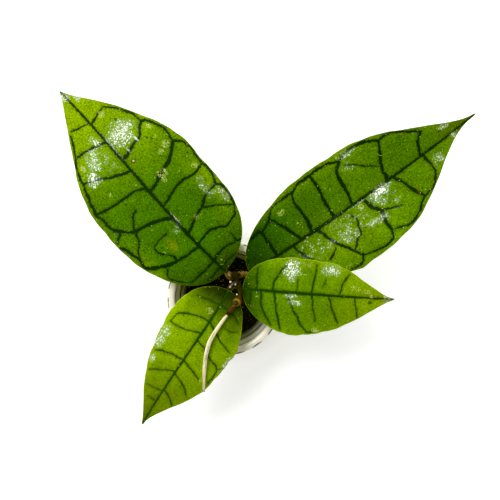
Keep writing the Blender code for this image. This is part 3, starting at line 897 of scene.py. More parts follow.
def swept(route: Array, around: int, caps: int, relief: Callable[[Array, Array], Array] | None = None
          ) -> BMesh:
    """A closed tube with rounded ends along a route.

    Args:
        route: rows of x, y, z and radius.
        around: faces round it.
        caps: rings in each rounded end.
        relief: gives a share added to the radius from (angle, length along) of each point.

    Returns:
        The tube, with the share of its length stored as along.
    """
    lengths = lengths_along(route)
    ahead = np.gradient(route[:, :3], axis=0)
    ahead /= np.linalg.norm(ahead, axis=1, keepdims=True)
    side = np.cross(ahead[0], ASKEW)
    sides = []
    for direction in ahead:
        side = side - direction * (side @ direction)
        side = side / np.linalg.norm(side)
        sides.append(side)
    swell = np.linspace(0.0, math.pi / 2, caps + 1)[1:]
    stations = [(0, math.cos(a), -CAP * math.sin(a)) for a in swell[::-1]]
    stations += [(index, 1.0, 0.0) for index in range(len(route))]
    stations += [(len(route) - 1, math.cos(a), CAP * math.sin(a)) for a in swell]
    index, shrink, push = (np.array(values) for values in zip(*stations))
    radius = route[index, 3]
    middle = route[index, :3] + ahead[index] * (push * radius)[:, None]
    sides = np.array(sides)[index]
    across = np.cross(ahead[index], sides)
    shell, row, column = grid(len(stations) - 1, around)
    angle = column / around * math.tau
    size = radius[row] * shrink[row]
    if relief is not None:
        size = size * (1.0 + relief(angle, lengths[index][row]))
    ring = np.cos(angle)[:, None] * sides[row] + np.sin(angle)[:, None] * across[row]
    place_points(shell, middle[row] + ring * size[:, None])
    mark(shell, "along", lengths[index][row] / lengths[-1])
    weld(shell)
    return shell


def rolled(middle: float, half: float, foot: float, rise: float, power: float, steps: int) -> list[tuple]:
    """Section of a rounded rim, from its outer side over the top to its inner side.

    Args:
        middle: radius of its middle.
        half: half its width.
        foot: height at which it starts.
        rise: its own height.
        power: 1 gives a half ellipse, and less is flatter on top.
        steps: number of points.

    Returns:
        (radius, height) of each point.
    """
    section = []
    for turn in np.linspace(0.0, math.pi, steps):
        across = math.copysign(abs(math.cos(turn)) ** power, math.cos(turn))
        section.append((middle + half * across, foot + rise * abs(math.sin(turn)) ** power))
    return section


def turned(profile: list[tuple], steps: int, centre: tuple[float, float] = (0.0, 0.0)) -> BMesh:
    """Turn a closed profile of (radius, height) about the vertical axis through centre.

    Args:
        profile: its points, from the bottom's middle, up the outside and down the inside.
        steps: faces round it.
        centre: x and y of the axis.

    Returns:
        The turned shell.
    """
    shell = bmesh.new()
    rim = [shell.verts.new(Vector((radius, 0.0, height)) * MM) for radius, height in profile]
    line = [shell.edges.new(pair) for pair in zip(rim, rim[1:])]
    bmesh.ops.spin(
        shell, geom=rim + line, cent=(0, 0, 0), axis=(0, 0, 1), angle=math.tau, steps=steps, use_merge=True
    )
    bmesh.ops.translate(shell, verts=shell.verts, vec=Vector((*centre, 0.0)) * MM)
    weld(shell)
    return shell


def ball(centre: tuple, radius: float, uneven: float = 0.0) -> BMesh:
    """A small round lump.

    Args:
        centre: its middle, in millimetres.
        radius: its radius.
        uneven: share by which its skin goes in and out.

    Returns:
        Its mesh.
    """
    lump = bmesh.new()
    bmesh.ops.create_icosphere(lump, subdivisions=3, radius=radius * MM)
    for vertex in lump.verts:
        vertex.co *= 1.0 + uneven * noise.noise(vertex.co / (0.9 * MM) + Vector(centre))
    bmesh.ops.translate(lump, verts=lump.verts, vec=Vector(centre) * MM)
    return lump


def as_mesh(name: str, shell: BMesh) -> bpy.types.Mesh:
    """Turn a shell into mesh data.

    Args:
        name: the data's name.
        shell: the shell, which is freed.

    Returns:
        The mesh data.
    """
    mesh = bpy.data.meshes.new(name)
    shell.to_mesh(mesh)
    shell.free()
    return mesh


def absorb(shell: BMesh, other: BMesh, finish: int | None = None) -> None:
    """Add another mesh to a shell.

    Args:
        shell: what it is added to.
        other: the mesh, which is freed.
        finish: material slot for all its faces, which otherwise keep their own.
    """
    for face in other.faces if finish is not None else ():
        face.material_index = finish
    carrier = as_mesh("carrier", other)
    shell.from_mesh(carrier)
    bpy.data.meshes.remove(carrier)


def stand(name: str, data: bpy.types.ID) -> bpy.types.Object:
    """Put a new object into the scene.

    Args:
        name: its name.
        data: its mesh, light or camera.

    Returns:
        The object.
    """
    made = bpy.data.objects.new(name, data)
    bpy.context.scene.collection.objects.link(made)
    return made


def modified(piece: bpy.types.Object, kind: str, **settings: object) -> bpy.types.Mesh:
    """Work out what one modifier makes of a piece.

    Args:
        piece: the piece, which stays as it is.
        kind: the modifier's type.
        settings: the modifier's properties.

    Returns:
        The new mesh.
    """
    modifier = piece.modifiers.new(kind, kind)
    for name, value in settings.items():
        setattr(modifier, name, value)
    mesh = bpy.data.meshes.new_from_object(piece.evaluated_get(bpy.context.evaluated_depsgraph_get()))
    piece.modifiers.clear()
    return mesh


def settle(name: str, shell: BMesh, finishes: list[Material], node: str) -> bpy.types.Object:
    """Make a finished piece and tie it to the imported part.

    Args:
        name: the piece's name.
        shell: its mesh, which is freed.
        finishes: its materials.
        node: the node that it stands for.

    Returns:
        The piece.
    """
    mesh = as_mesh(name, shell)
    for finish in finishes:
        mesh.materials.append(finish)
    mesh.shade_smooth()
    piece = stand(name, mesh)
    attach(piece, BODY)
    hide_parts(node)
    triangles = sum(len(polygon.vertices) - 2 for polygon in mesh.polygons)
    log.info("%s: %d triangles, stands for %s", name, triangles, node)
    return piece


@dataclass
class Cachepot:
    """The glazed outer pot: flat foot, widening wall and rounded lip."""
    radius: float = 41.6
    height: float = 75.0
    foot_radius: float = 27.0
    floor: float = 5.0
    lip_width: float = 5.9
    lip_rise: float = 4.1
    lip_flatness: float = 0.7
    steps: int = 200
    inner_wall: tuple = (        # how far it is drawn in from the lip's inner side, and height
        (0.1, 69.0), (1.8, 61.5), (2.1, 55.0), (3.5, 42.0), (5.7, 26.0), (7.9, 12.0), (9.8, 7.0), (11.5, 5.0),
    )
    ring_height: float = 0.10    # of the throwing rings inside
    ring_pitch: float = 1.7
    ring_start: float = 3.5      # how far below the top they begin
    finish: GlazeFinish = GlazeFinish()

    def profile(self) -> list[tuple]:
        """Work out the pot's section.

        Returns:
            (radius, height) from the foot's middle, over the lip, to the floor's middle inside.
        """
        wall_top = self.height - self.lip_rise
        outside = [(0.0, 0.0), (self.foot_radius - 1.8, 0.0), (self.foot_radius - 1.0, 0.12)]
        for share in np.linspace(0.02, 0.94, 26):
            belly = math.sin(share * math.pi / 2) ** 0.9
            outside.append((self.foot_radius + (self.radius - self.foot_radius) * belly, share * wall_top))
        half = self.lip_width / 2
        lip = rolled(self.radius - half, half, wall_top, self.lip_rise, self.lip_flatness, 21)
        inner = self.radius - self.lip_width
        wall = [(inner - drawn_in, height) for drawn_in, height in ((0.0, wall_top), *self.inner_wall)]
        inside = smooth_route(wall, 5)[1:]
        return outside + lip + [tuple(point) for point in inside] + [(0.0, self.floor)]

    def build(self) -> bpy.types.Object:
        """Turn the pot, with faint throwing rings inside.

        Returns:
            The finished piece.
        """
        shell = turned(self.profile(), self.steps)
        points = points_of(shell)
        radius = np.hypot(points[:, 0], points[:, 1])
        lip_middle = self.radius - self.lip_width / 2
        inside = (radius < lip_middle) & (points[:, 2] > self.floor + 0.5)
        reach = np.interp(points[:, 2], (0.0, 71.0, 76.0), (self.foot_radius - 2.0, lip_middle, lip_middle))
        inside &= radius < reach
        depth = np.where(inside, self.height - points[:, 2], 0.0)
        rings = self.ring_height * np.sin(points[:, 2] * math.tau / self.ring_pitch)
        rings = rings * np.clip((depth - self.ring_start) / 2.0, 0.0, 1.0) * inside
        outward = points[:, :2] / np.maximum(radius, 1e-6)[:, None]
        points[:, :2] += outward * rings[:, None]
        place_points(shell, points)
        mark(shell, "inside", inside.astype(float))
        mark(shell, "depth", depth)
        finishes = [self.finish.material("cream_glaze")]
        return settle("cachepot_glazed", shell, finishes, "cachepot")


@dataclass
class NurseryPot:
    """The thin plastic pot with its rolled rim and drainage holes."""
    centre: tuple[float, float] = (0.1, 0.1)
    rim_radius: float = 33.3
    rim_top: float = 61.0
    rim_depth: float = 4.0
    roll_width: float = 1.15     # half the rim's thickness
    roll_rise: float = 0.8
    roll_flatness: float = 0.4
    top_radius: float = 31.2
    base_radius: float = 21.5
    bottom: float = 5.3
    wall: float = 1.0
    floor: float = 1.4
    holes: int = 4
    hole_radius: float = 2.4
    hole_circle: float = 13.0
    steps: int = 160
    finish: PlasticFinish = PlasticFinish()

    def wall_radius(self, height: float) -> float:
        """Outer radius of the tapered wall at a height."""
        share = (height - self.bottom) / (self.rim_top - self.rim_depth - self.bottom)
        return self.base_radius + (self.top_radius - self.base_radius) * share

    def profile(self) -> list[tuple]:
        """Work out the pot's section, with a rolled rim.

        Returns:
            (radius, height) from the floor's middle below, over the rim, to its middle above.
        """
        rim_foot, inner_floor = self.rim_top - self.rim_depth, self.bottom + self.floor
        outer = [(0.0, self.bottom), (self.base_radius - 0.8, self.bottom)]
        outer += [(self.wall_radius(h), h) for h in np.linspace(self.bottom + 0.8, rim_foot, 12)]
        outer += [(self.rim_radius - 0.3, rim_foot), (self.rim_radius, rim_foot + 0.5)]
        outer += rolled(self.rim_radius - self.roll_width, self.roll_width, self.rim_top - self.roll_rise,
                        self.roll_rise, self.roll_flatness, 15)
        inner = [(self.wall_radius(h) - self.wall, h) for h in np.linspace(rim_foot, inner_floor, 12)]
        return outer + inner + [(0.0, inner_floor)]

    def build(self) -> bpy.types.Object:
        """Turn the pot and cut its drainage holes.

        Returns:
            The finished piece.
        """
        shell = turned(self.profile(), self.steps, self.centre)
        finishes = [self.finish.material("black_plastic")]
        piece = settle("nursery_pot_moulded", shell, finishes, "nursery_pot")
        for index in range(self.holes):
            turn = math.tau * (index + 0.5) / self.holes
            x = self.centre[0] + self.hole_circle * math.cos(turn)
            y = self.centre[1] + self.hole_circle * math.sin(turn)
            route = [(x, y, self.bottom + height, self.hole_radius) for height in (-2, 1, 4)]
            cutter = stand("cutter", as_mesh("cutter", swept(np.array(route), 24, 2)))
            carved = modified(piece, "BOOLEAN", operation="DIFFERENCE", solver="EXACT", object=cutter)
            carved.name = piece.name
            piece.data = carved
            bpy.data.objects.remove(cutter, do_unlink=True)
        piece.data.shade_smooth()
        return piece


@dataclass
class PottingMix:
    """The crumbly top of the potting mix, with bark chips and perlite lying in it."""
    centre: tuple[float, float] = (0.1, 0.1)
    top: float = 57.0
    bottom: float = 7.0
    top_radius: float = 29.65
    bottom_radius: float = 20.25
    rings: int = 70
    steps: int = 210
    chips: int = 620
    white_share: float = 0.30    # of the chips that are perlite
    bark: tuple = ((0.4, 1.5), (0.35, 0.7), (0.22, 0.4))         # least and most of a chip's radius,
    perlite: tuple = ((0.18, 0.50), (0.6, 1.0), (0.5, 0.8))      # and of its width and depth in radii
    seed: int = 11

    def height(self, points: Array) -> Array:
        """Height of the crumbs.

        Args:
            points: places on the soil, in millimetres.

        Returns:
            How far the crumbs rise there.
        """
        flat = np.column_stack((points[:, :2], np.zeros(len(points))))
        lumps = 1.5 * cloud(flat, 6.5) + 0.9 * np.abs(cloud(flat, 2.6, 3.0)) + 0.45 * cloud(flat, 1.1, 7.0)
        radius = np.hypot(points[:, 0] - self.centre[0], points[:, 1] - self.centre[1])
        return lumps * np.clip((self.top_radius - radius) / 1.2, 0.0, 1.0)

    def build(self) -> bpy.types.Object:
        """Turn the plug of soil, raise its crumbs and strew the chips.

        Returns:
            The finished piece.
        """
        radii = np.linspace(self.bottom_radius, self.top_radius, 8)
        profile = [(0.0, self.bottom), *zip(radii, np.linspace(self.bottom, self.top - 0.6, 8))]
        left = (1.0 - ring / self.rings for ring in range(1, self.rings + 1))
        profile += [(self.top_radius * share, self.top) for share in left]
        shell = turned(profile, self.steps, self.centre)
        points = points_of(shell)
        upper = points[:, 2] > self.top - 0.3
        points[upper, 2] += self.height(points[upper])
        place_points(shell, points)
        absorb(shell, self.strewn())
        finishes = [crumb.value.material("soil_" + crumb.name.lower()) for crumb in Crumb]
        return settle("soil_crumbs", shell, finishes, "soil")

    def strewn(self) -> BMesh:
        """Flattened chips and grains that lie on the soil, sunk into it.

        Returns:
            All the chips as one mesh.
        """
        random = np.random.default_rng(self.seed)
        kinds = list(Crumb)
        chips = bmesh.new()
        for _ in range(self.chips):
            turn, reach = random.uniform(0.0, math.tau), math.sqrt(random.uniform(0.0, 0.93))
            x = self.centre[0] + self.top_radius * reach * math.cos(turn)
            y = self.centre[1] + self.top_radius * reach * math.sin(turn)
            white = random.random() < self.white_share
            size, width, depth = (random.uniform(*span) for span in (self.perlite if white else self.bark))
            ground = self.top + self.height(np.array([(x, y, 0.0)]))[0]
            made = bmesh.ops.create_icosphere(chips, subdivisions=1, radius=size * MM)["verts"]
            bmesh.ops.scale(chips, verts=made, vec=(1.0, width, depth))
            for vertex in made:
                vertex.co *= 1.0 + 0.35 * noise.noise(vertex.co * 900.0 + Vector((x, y, 0.0)))
            tilt = Vector((random.normal(0.0, 0.35), random.normal(0.0, 0.35), 1.0)).to_track_quat("Z", "Y")
            spin = random.uniform(0.0, math.tau)
            spun = Vector((math.cos(spin), math.sin(spin), 0.0)).to_track_quat("X", "Z")
            bmesh.ops.rotate(chips, verts=made, cent=(0, 0, 0), matrix=tilt.to_matrix() @ spun.to_matrix())
            bmesh.ops.translate(chips, verts=made, vec=Vector((x, y, ground + 0.12 * size)) * MM)
            kind = kinds.index(Crumb.PERLITE if white else Crumb.BARK)
            for face in {face for vertex in made for face in vertex.link_faces}:
                face.material_index = kind
        return chips


@dataclass
class Stem:
    """The bent stem with its nodes, knob, cut stub and buds. Routes are rows of x, y, z and radius."""
    route: tuple = (
        (5.2, 8.6, 44.0, 1.3), (5.7, 10.6, 57.0, 1.9), (6.5, 13.6, 68.0, 1.7), (7.3, 16.3, 77.5, 2.5),
        (7.6, 16.6, 80.5, 2.9), (8.0, 15.7, 83.5, 2.0), (9.3, 12.5, 89.5, 1.6), (10.4, 10.1, 93.5, 2.4),
        (10.9, 8.7, 95.5, 2.3), (11.4, 5.9, 98.5, 1.6), (11.1, 2.7, 100.4, 1.7), (9.7, 0.0, 101.2, 2.8),
        (8.3, -1.8, 101.4, 2.4), (7.1, -3.3, 101.4, 1.35), (4.9, -6.3, 101.6, 1.4), (3.1, -8.7, 102.0, 1.3),
    )
    cut_foot: tuple = (9.0, -0.6, 101.5)
    cut_end: tuple = (8.3, -1.1, 104.8)
    cut_radius: float = 2.1
    cut_depth: float = 1.6       # how far from its face the cut's colours reach down
    buds: tuple = (((8.5, 10.7, 93.8), 1.5), ((9.9, 17.3, 81.6), 1.3))
    # pale crumbs set where the stem shows glints, partly painted highlight
    chips: tuple = (((4.7, 12.6, 93.4), 0.70), ((8.2, 11.0, 95.3), 0.60), ((4.5, 9.2, 95.3), 0.70),
                    ((9.3, 4.4, 98.8), 0.60))
    voxel: float = 0.22
    smoothing: int = 3
    finish: BarkFinish = BarkFinish()

    def rough_shape(self) -> BMesh:
        """The overlapping tubes and buds that the stem is fused from.

        Returns:
            Their mesh.
        """
        def wrinkles(angle: Array, length: Array) -> Array:
            """Lengthwise wrinkles and faint rings."""
            points = round_tube(angle, length, 2.2, 5.0)
            return 0.13 * cloud(points, 1.0) + 0.05 * cloud(points * 3.0, 1.0, 4.0)

        shell = swept(smooth_route(self.route, 10), 40, 5, wrinkles)
        stub = ((*self.cut_foot, self.cut_radius), (*self.cut_end, self.cut_radius * 0.94))
        absorb(shell, swept(smooth_route(stub, 8), 32, 3), 0)
        for centre, radius in self.buds:
            absorb(shell, ball(centre, radius), 0)
        return shell

    def fuse(self, shell: BMesh) -> BMesh:
        """Fuse overlapping shells into one skin.

        Args:
            shell: the shells, which are freed.

        Returns:
            One closed mesh.
        """
        rough = stand("rough", as_mesh("rough", shell))
        skin = modified(rough, "REMESH", mode="VOXEL", voxel_size=self.voxel * MM)
        bpy.data.objects.remove(rough, do_unlink=True)
        fused = bmesh.new()
        fused.from_mesh(skin)
        bpy.data.meshes.remove(skin)
        axes = {"use_axis_" + axis: True for axis in "xyz"}
        for _ in range(self.smoothing):
            bmesh.ops.smooth_vert(fused, verts=fused.verts, factor=0.5, **axes)
        return fused

    def build(self) -> bpy.types.Object:
        """Fuse the stem and mark where along it each point lies.

        Returns:
            The finished piece.
        """
        shell = self.fuse(self.rough_shape())
        points = points_of(shell)
        route = smooth_route(self.route, 10)
        lengths = lengths_along(route)
        mark(shell, "along", (lengths / lengths[-1])[nearest(points, route)])
        foot, end = np.array(self.cut_foot), np.array(self.cut_end)
        axis = (end - foot) / np.linalg.norm(end - foot)
        reach = (points - foot) @ axis
        from_axis = np.linalg.norm(points - foot - reach[:, None] * axis, axis=1)
        from_end = np.maximum(np.linalg.norm(end - foot) - self.cut_depth - reach, 0.0)
        mark(shell, "cut", from_axis + from_end * 1.2)
        for centre, radius in self.chips:
            absorb(shell, ball(centre, radius, uneven=0.45), 1)
        finishes = [self.finish.material("stem_bark"), CrumbAndGlintFinish().material("bark_crumbs")]
        return settle("stem_bark", shell, finishes, "stem")


@dataclass
class DriedShoot:
    """The bare, dry core that comes out of the stem's bark. Its route is rows of x, y, z and radius."""
    route: tuple = (
        (2.8, -9.2, 102.1, 1.0), (0.3, -12.2, 102.8, 1.15), (-2.9, -16.5, 103.1, 1.2),
        (-6.6, -22.5, 103.0, 1.3), (-9.6, -28.5, 102.3, 1.35), (-11.5, -35.5, 101.2, 1.3),
        (-12.5, -42.5, 99.9, 1.2), (-13.1, -49.7, 98.3, 1.1), (-13.4, -56.7, 96.5, 0.95),
        (-13.4, -62.3, 95.0, 0.65),
    )
    finish: DryWoodFinish = DryWoodFinish()

    def build(self) -> bpy.types.Object:
        """Sweep the shoot with lengthwise fibres.

        Returns:
            The finished piece.
        """
        route = smooth_route(self.route, 24)
        shell = swept(route, 48, 5, lambda angle, length: 0.16 * self.fibres(angle, length))
        points = points_of(shell)
        at = nearest(points, route)
        off = points - route[at, :3]
        angle = np.arctan2(off[:, 2], off[:, 0])
        mark(shell, "fibre", 0.5 + 0.9 * self.fibres(angle, lengths_along(route)[at]))
        finishes = [self.finish.material("dry_wood")]
        return settle("dried_shoot_streaked", shell, finishes, "dried_shoot")

    def fibres(self, angle: Array, length: Array) -> Array:
        """Noise that is drawn out along the shoot."""
        points = round_tube(angle, length, 1.9, 14.0)
        return cloud(points, 1.0) + 0.4 * cloud(points * 2.3, 1.0, 5.0)


@dataclass(frozen=True)
class Half:
    """One side of a blade, seen from above.

    The margin rises from the base to width at widest (0 base, 1 tip) and falls to the tip. A vein is its
    width in tenths of a millimetre, then pairs of hundredths: how far along the midrib a point lies, and
    how far from there to the margin.
    """
    width: float
    widest: float
    base_power: float
    tip_power: float
    tip_sharpness: float
    veins: tuple

    def reach(self, along: Array) -> Array:
        """Half width at shares of the midrib.

        Args:
            along: the shares.

        Returns:
            The half widths in millimetres, with small waves in the margin and a blunt tip.
        """
        before = np.clip((self.widest - along) / self.widest, 0.0, 1.0)
        after = np.clip((along - self.widest) / (1.0 - self.widest), 0.0, 1.0)
        base = np.sqrt(1.0 - before ** self.base_power)
        tip = (1.0 - after ** self.tip_power) ** self.tip_sharpness
        uneven = 0.0
        for waves, height in ((3.1, 0.34), (7.3, 0.24), (15.0, 0.12)):
            uneven = uneven + height * np.sin(math.tau * waves * (along + self.widest))
        left = 1.0 - along
        blunt = 0.95 * (1.0 - np.exp(-left / 0.006)) * np.exp(-left / 0.05)
        smooth = self.width * np.where(along < self.widest, base, tip)
        return smooth + blunt + uneven * np.sin(math.pi * along)

    def strands(self) -> Iterator[tuple[float, Array]]:
        """Width in millimetres and smooth route in shares of each vein."""
        for width, *knots in self.veins:
            yield width / 10, smooth_route(np.array(knots).reshape(-1, 2) / 100, 4)


class Side(Enum):
    """Material slots of a leaf."""
    TOP = 0
    UNDER = 1
    STALK = 2


@dataclass
class Leaf:
    """A leaf: its midrib as a cubic curve from base to tip, its two halves, bends, veins, spots and stalk.

    A spot is (along, out, reach along, reach across, strength): its place in shares of the blade, out being
    positive to the left, and how far from there it is felt by half, in millimetres.
    """
    name: str
    midrib: tuple
    left: Half
    right: Half
    stalk: tuple                 # rows of x, y, z and radius
    spots: dict[Patch, tuple]
    finish: LeafFinish
    slot: str
    fold: tuple[float, float] = (0, 0)
    curl: float = 5.0
    wave: float = 0.6
    stalk_finish: PetioleFinish = PetioleFinish()
    vein_scale: float = 1.25
    midrib_width: float = 1.8
    under: tuple = ((0.0, 2.8, 1.6), (0.05, 2.4, 1.2), (0.10, 1.9, 0.9))     # stalk: along, depth, radius
    spacing: float = 0.68        # of the mesh's points
    waves: float = 3.5
    middle_thickness: float = 1.5
    margin_thickness: float = 0.9
    margin_round: float = 0.6
    ridge: float = 2.0           # height of the midrib below
    groove: float = 0.12         # depth of the veins above
    cord: float = 0.30           # height of the veins below
    pucker: float = 0.35         # height of the cells between the veins
    pucker_reach: float = 3.0
    fade: float = 5.0            # from the margin to where all relief is whole
    drift: float = 0.9           # how far the veins wander
    quiver: float = 0.35         # how far they wander in small

    def middle(self, along: Array) -> Array:
        """Points of the midrib.

        Args:
            along: shares of the midrib.

        Returns:
            Their places in millimetres.
        """
        a, b, c, d = (np.array(point) for point in self.midrib)
        u = along[..., None]
        return (1 - u) ** 3 * a + 3 * (1 - u) ** 2 * u * b + 3 * (1 - u) * u * u * c + u ** 3 * d

    def frame(self, along: Array) -> tuple[Array, Array]:
        """Directions at shares of the midrib.

        Args:
            along: the shares.

        Returns:
            Unit vectors across the blade (to the left) and out of its upper face.
        """
        a, b, c, d = (np.array(point) for point in self.midrib)
        u = along[..., None]
        ahead = (1 - u) ** 2 * (b - a) + 2 * (1 - u) * u * (c - b) + u * u * (d - c)
        ahead /= np.linalg.norm(ahead, axis=-1, keepdims=True)
        across = np.cross(np.array((0.0, 0.0, 1.0)), ahead)
        across /= np.linalg.norm(across, axis=-1, keepdims=True)
        return across, np.cross(ahead, across)

    def length(self) -> float:
        """Length of the midrib."""
        points = self.middle(np.linspace(0.0, 1.0, 60))
        return float(np.linalg.norm(np.diff(points, axis=0), axis=1).sum())

    def half(self, along: Array, out: Array) -> Array:
        """Half width at shares of the midrib, on the side that out lies on."""
        return np.where(out > 0, self.left.reach(along), self.right.reach(along))

    def surface(self, along: Array, out: Array, lift: Array) -> Array:
        """Points of the blade.

        Args:
            along: shares of the midrib.
            out: shares of the way to the margin, positive to the left.
            lift: how far each point is raised.

        Returns:
            Their places in millimetres.
        """
        across, up = self.frame(along)
        half = self.half(along, out)
        fold = np.radians(np.where(out > 0, *self.fold))
        distance = np.abs(out) * half
        soft = np.sqrt(distance ** 2 + 4.0) - 2.0
        widest = max(self.left.width, self.right.width)
        phase = np.where(out > 0, 0.0, 1.7)
        ripple = self.wave * out ** 2 * np.sin(math.tau * self.waves * along + phase)
        ripple = ripple * np.minimum(1, half / 10)
        rise = soft * np.sin(fold) - self.curl * (distance / widest) ** 2 + ripple + lift
        sideways = np.sign(out) * distance * np.cos(fold)
        return self.middle(along) + across * sideways[..., None] + up * rise[..., None]

    def flat(self, along: Array, out: Array) -> Array:
        """Points of the flattened blade, in millimetres."""
        return np.column_stack((along * self.length(), out * self.half(along, out)))

    def vein_distance(self, points: Array) -> tuple[Array, Array]:
        """How far flat points lie from the net of veins.

        Args:
            points: flat points in millimetres.

        Returns:
            The distance to the nearest vein's middle line, and to the nearest vein's edge, below 0 inside it.
        """
        wander = np.column_stack((points, np.zeros(len(points))))
        drift = self.drift * np.column_stack((cloud(wander, 6.0, 2.0), cloud(wander, 6.0, 9.0)))
        drift += self.quiver * np.column_stack((cloud(wander, 1.9, 5.0), cloud(wander, 1.9, 12.0)))
        bent = points + drift * np.clip(np.abs(points[:, 1:]) / 4.0, 0.25, 1.0)
        shares = np.linspace(0.0, 1.0, 40)
        spine = np.column_stack((np.linspace(0.0, self.length(), 40), np.zeros(40)))
        strands = [(spine, self.midrib_width * np.interp(shares, (0.0, 0.3, 1.0), (0.65, 1.0, 0.45)))]
        for sign, part in ((1.0, self.left), (-1.0, self.right)):
            for width, route in part.strands():
                flat = self.flat(route[:, 0], sign * route[:, 1])
                strands.append((flat, np.linspace(width, 0.72 * width, len(flat))))
        middle, edge = np.full(len(points), FAR), np.full(len(points), FAR)
        for line, widths in strands:
            for distance, width in zip(off_line(bent, line), widths):
                middle = np.minimum(middle, distance)
                edge = np.minimum(edge, distance - self.vein_scale * width / 2)
        return middle, edge

    def margin_distance(self, points: Array) -> Array:
        """How far flat points lie from the margin.

        Args:
            points: flat points in millimetres.

        Returns:
            The distances in millimetres.
        """
        spread = (1.0 - np.cos(np.linspace(0.0, math.pi, 90))) / 2.0
        best = np.full(len(points), FAR)
        for side in (np.ones(90), -np.ones(90)):
            for distance in off_line(points, self.flat(spread, side)):
                best = np.minimum(best, distance)
        return best

    def felt(self, patch: Patch, points: Array) -> Array:
        """How strongly one kind of spot is felt.

        Args:
            patch: the kind.
            points: flat points in millimetres.

        Returns:
            Strengths from 0 to about 1.
        """
        best = np.zeros(len(points))
        for along, out, ahead, across, strength in self.spots.get(patch, ()):
            off = (points - self.flat(np.array([along]), np.array([out]))) / (ahead, across)
            best = np.maximum(best, strength * np.exp2(-(off ** 2).sum(axis=1)))
        return best

    def levels(self) -> tuple[Array, Array]:
        """Rows and columns of the blade's mesh.

        Returns:
            The shares along and out at which they lie.
        """
        end = 0.03
        rows = int(self.length() * (1 - 2 * end) / self.spacing)
        taper = end * np.linspace(0.0, 1.0, 15) ** 2
        along = np.concatenate((taper[:-1], np.linspace(end, 1 - end, rows), 1 - taper[:-1][::-1]))
        widest = max(self.left.width, self.right.width)
        rim = 1.0 - np.array((1.0, 0.62, 0.38, 0.2, 0.08, 0.0)) / widest
        out = np.concatenate((np.linspace(0.0, rim[0], int(widest / self.spacing))[1:-1], rim))
        return along, np.concatenate((-out[::-1], (0.0,), out))

    def blade(self) -> BMesh:
        """The blade as one closed skin, its upper face first.

        Returns:
            The mesh, with its distances stored at its points.
        """
        levels_along, levels_out = self.levels()
        counts = (len(levels_along) - 1, len(levels_out) - 1)
        shell, row, column = grid(*counts)
        lower, _, _ = grid(*counts)
        bmesh.ops.reverse_faces(lower, faces=lower.faces)
        absorb(shell, lower, Side.UNDER.value)
        along, out = levels_along[row], levels_out[column]
        flat = self.flat(along, out)
        vein, vein_edge = self.vein_distance(flat)
        margin = self.margin_distance(flat)
        margin[np.abs(out) == 1.0] = 0.0
        off_middle = np.abs(flat[:, 1])
        off_edge = np.maximum(vein_edge, 0.0)
        fade = np.clip(margin / self.fade, 0.0, 1.0)
        pucker = self.pucker * (1.0 - np.exp(-(vein / self.pucker_reach) ** 2)) * fade
        solid = np.column_stack((flat, np.zeros(len(flat))))
        crumple = (0.20 * cloud(solid, 9.0, 21.0) + 0.05 * cloud(solid, 3.0, 33.0)) * fade
        groove = self.groove * np.exp(-(off_edge / 0.6) ** 2) * fade
        cords = self.cord * np.exp(-(off_edge / 0.7) ** 2) * fade
        turn_in = 1.0 - np.clip(margin / self.margin_round, 0.0, 1.0)
        turn_in = 1.0 - np.sqrt(np.clip(1.0 - turn_in ** 2, 0.0, 1.0))
        half_edge = self.margin_thickness / 2
        swelling = np.clip(margin / 8.0, 0.0, 1.0)
        thickness = self.margin_thickness + (self.middle_thickness - self.margin_thickness) * swelling
        ridge = self.ridge * (1.0 - 0.85 * along) * np.exp(-(off_middle / 1.1) ** 2)
        ridge = ridge * np.clip(margin / 2.0, 0.0, 1.0)
        above = pucker + crumple - groove - half_edge * turn_in
        below = 0.5 * pucker + 0.6 * crumple - thickness - ridge - cords + half_edge * turn_in
        below = np.where(margin == 0.0, above, below)
        place_points(shell, np.vstack((self.surface(along, out, above), self.surface(along, out, below))))
        fields = {"along": along, "vein": vein_edge, "edge": margin, "rib": off_middle}
        fields.update({patch.value: self.felt(patch, flat) for patch in Patch})
        for name, values in fields.items():
            mark(shell, name, np.concatenate((values, values)))
        bmesh.ops.remove_doubles(shell, verts=shell.verts, dist=WELD * MM)
        return shell

    def petiole(self) -> BMesh:
        """The stalk from the stem's node to under the blade.

        Returns:
            Its mesh.
        """
        route = list(self.stalk)
        for along, depth, radius in self.under:
            place = self.surface(np.array([along]), np.array([0.0]), np.array([-depth]))[0]
            route.append((*place, radius))

        def wrinkles(angle: Array, length: Array) -> Array:
            """Soft lengthwise wrinkles."""
            return 0.12 * cloud(round_tube(angle, length, 1.6, 6.0), 1.0)

        return swept(smooth_route(route, 10), 36, 4, wrinkles)

    def build(self) -> bpy.types.Object:
        """Join blade and stalk and dress them.

        Returns:
            The finished piece.
        """
        shell = self.blade()
        absorb(shell, self.petiole(), Side.STALK.value)
        finishes = [
            self.finish.top(self.name + "_top"), self.finish.underside(self.name + "_underside"),
            self.stalk_finish.material(self.name + "_stalk"),
        ]
        return settle(self.name + "_netted", shell, finishes, self.name)


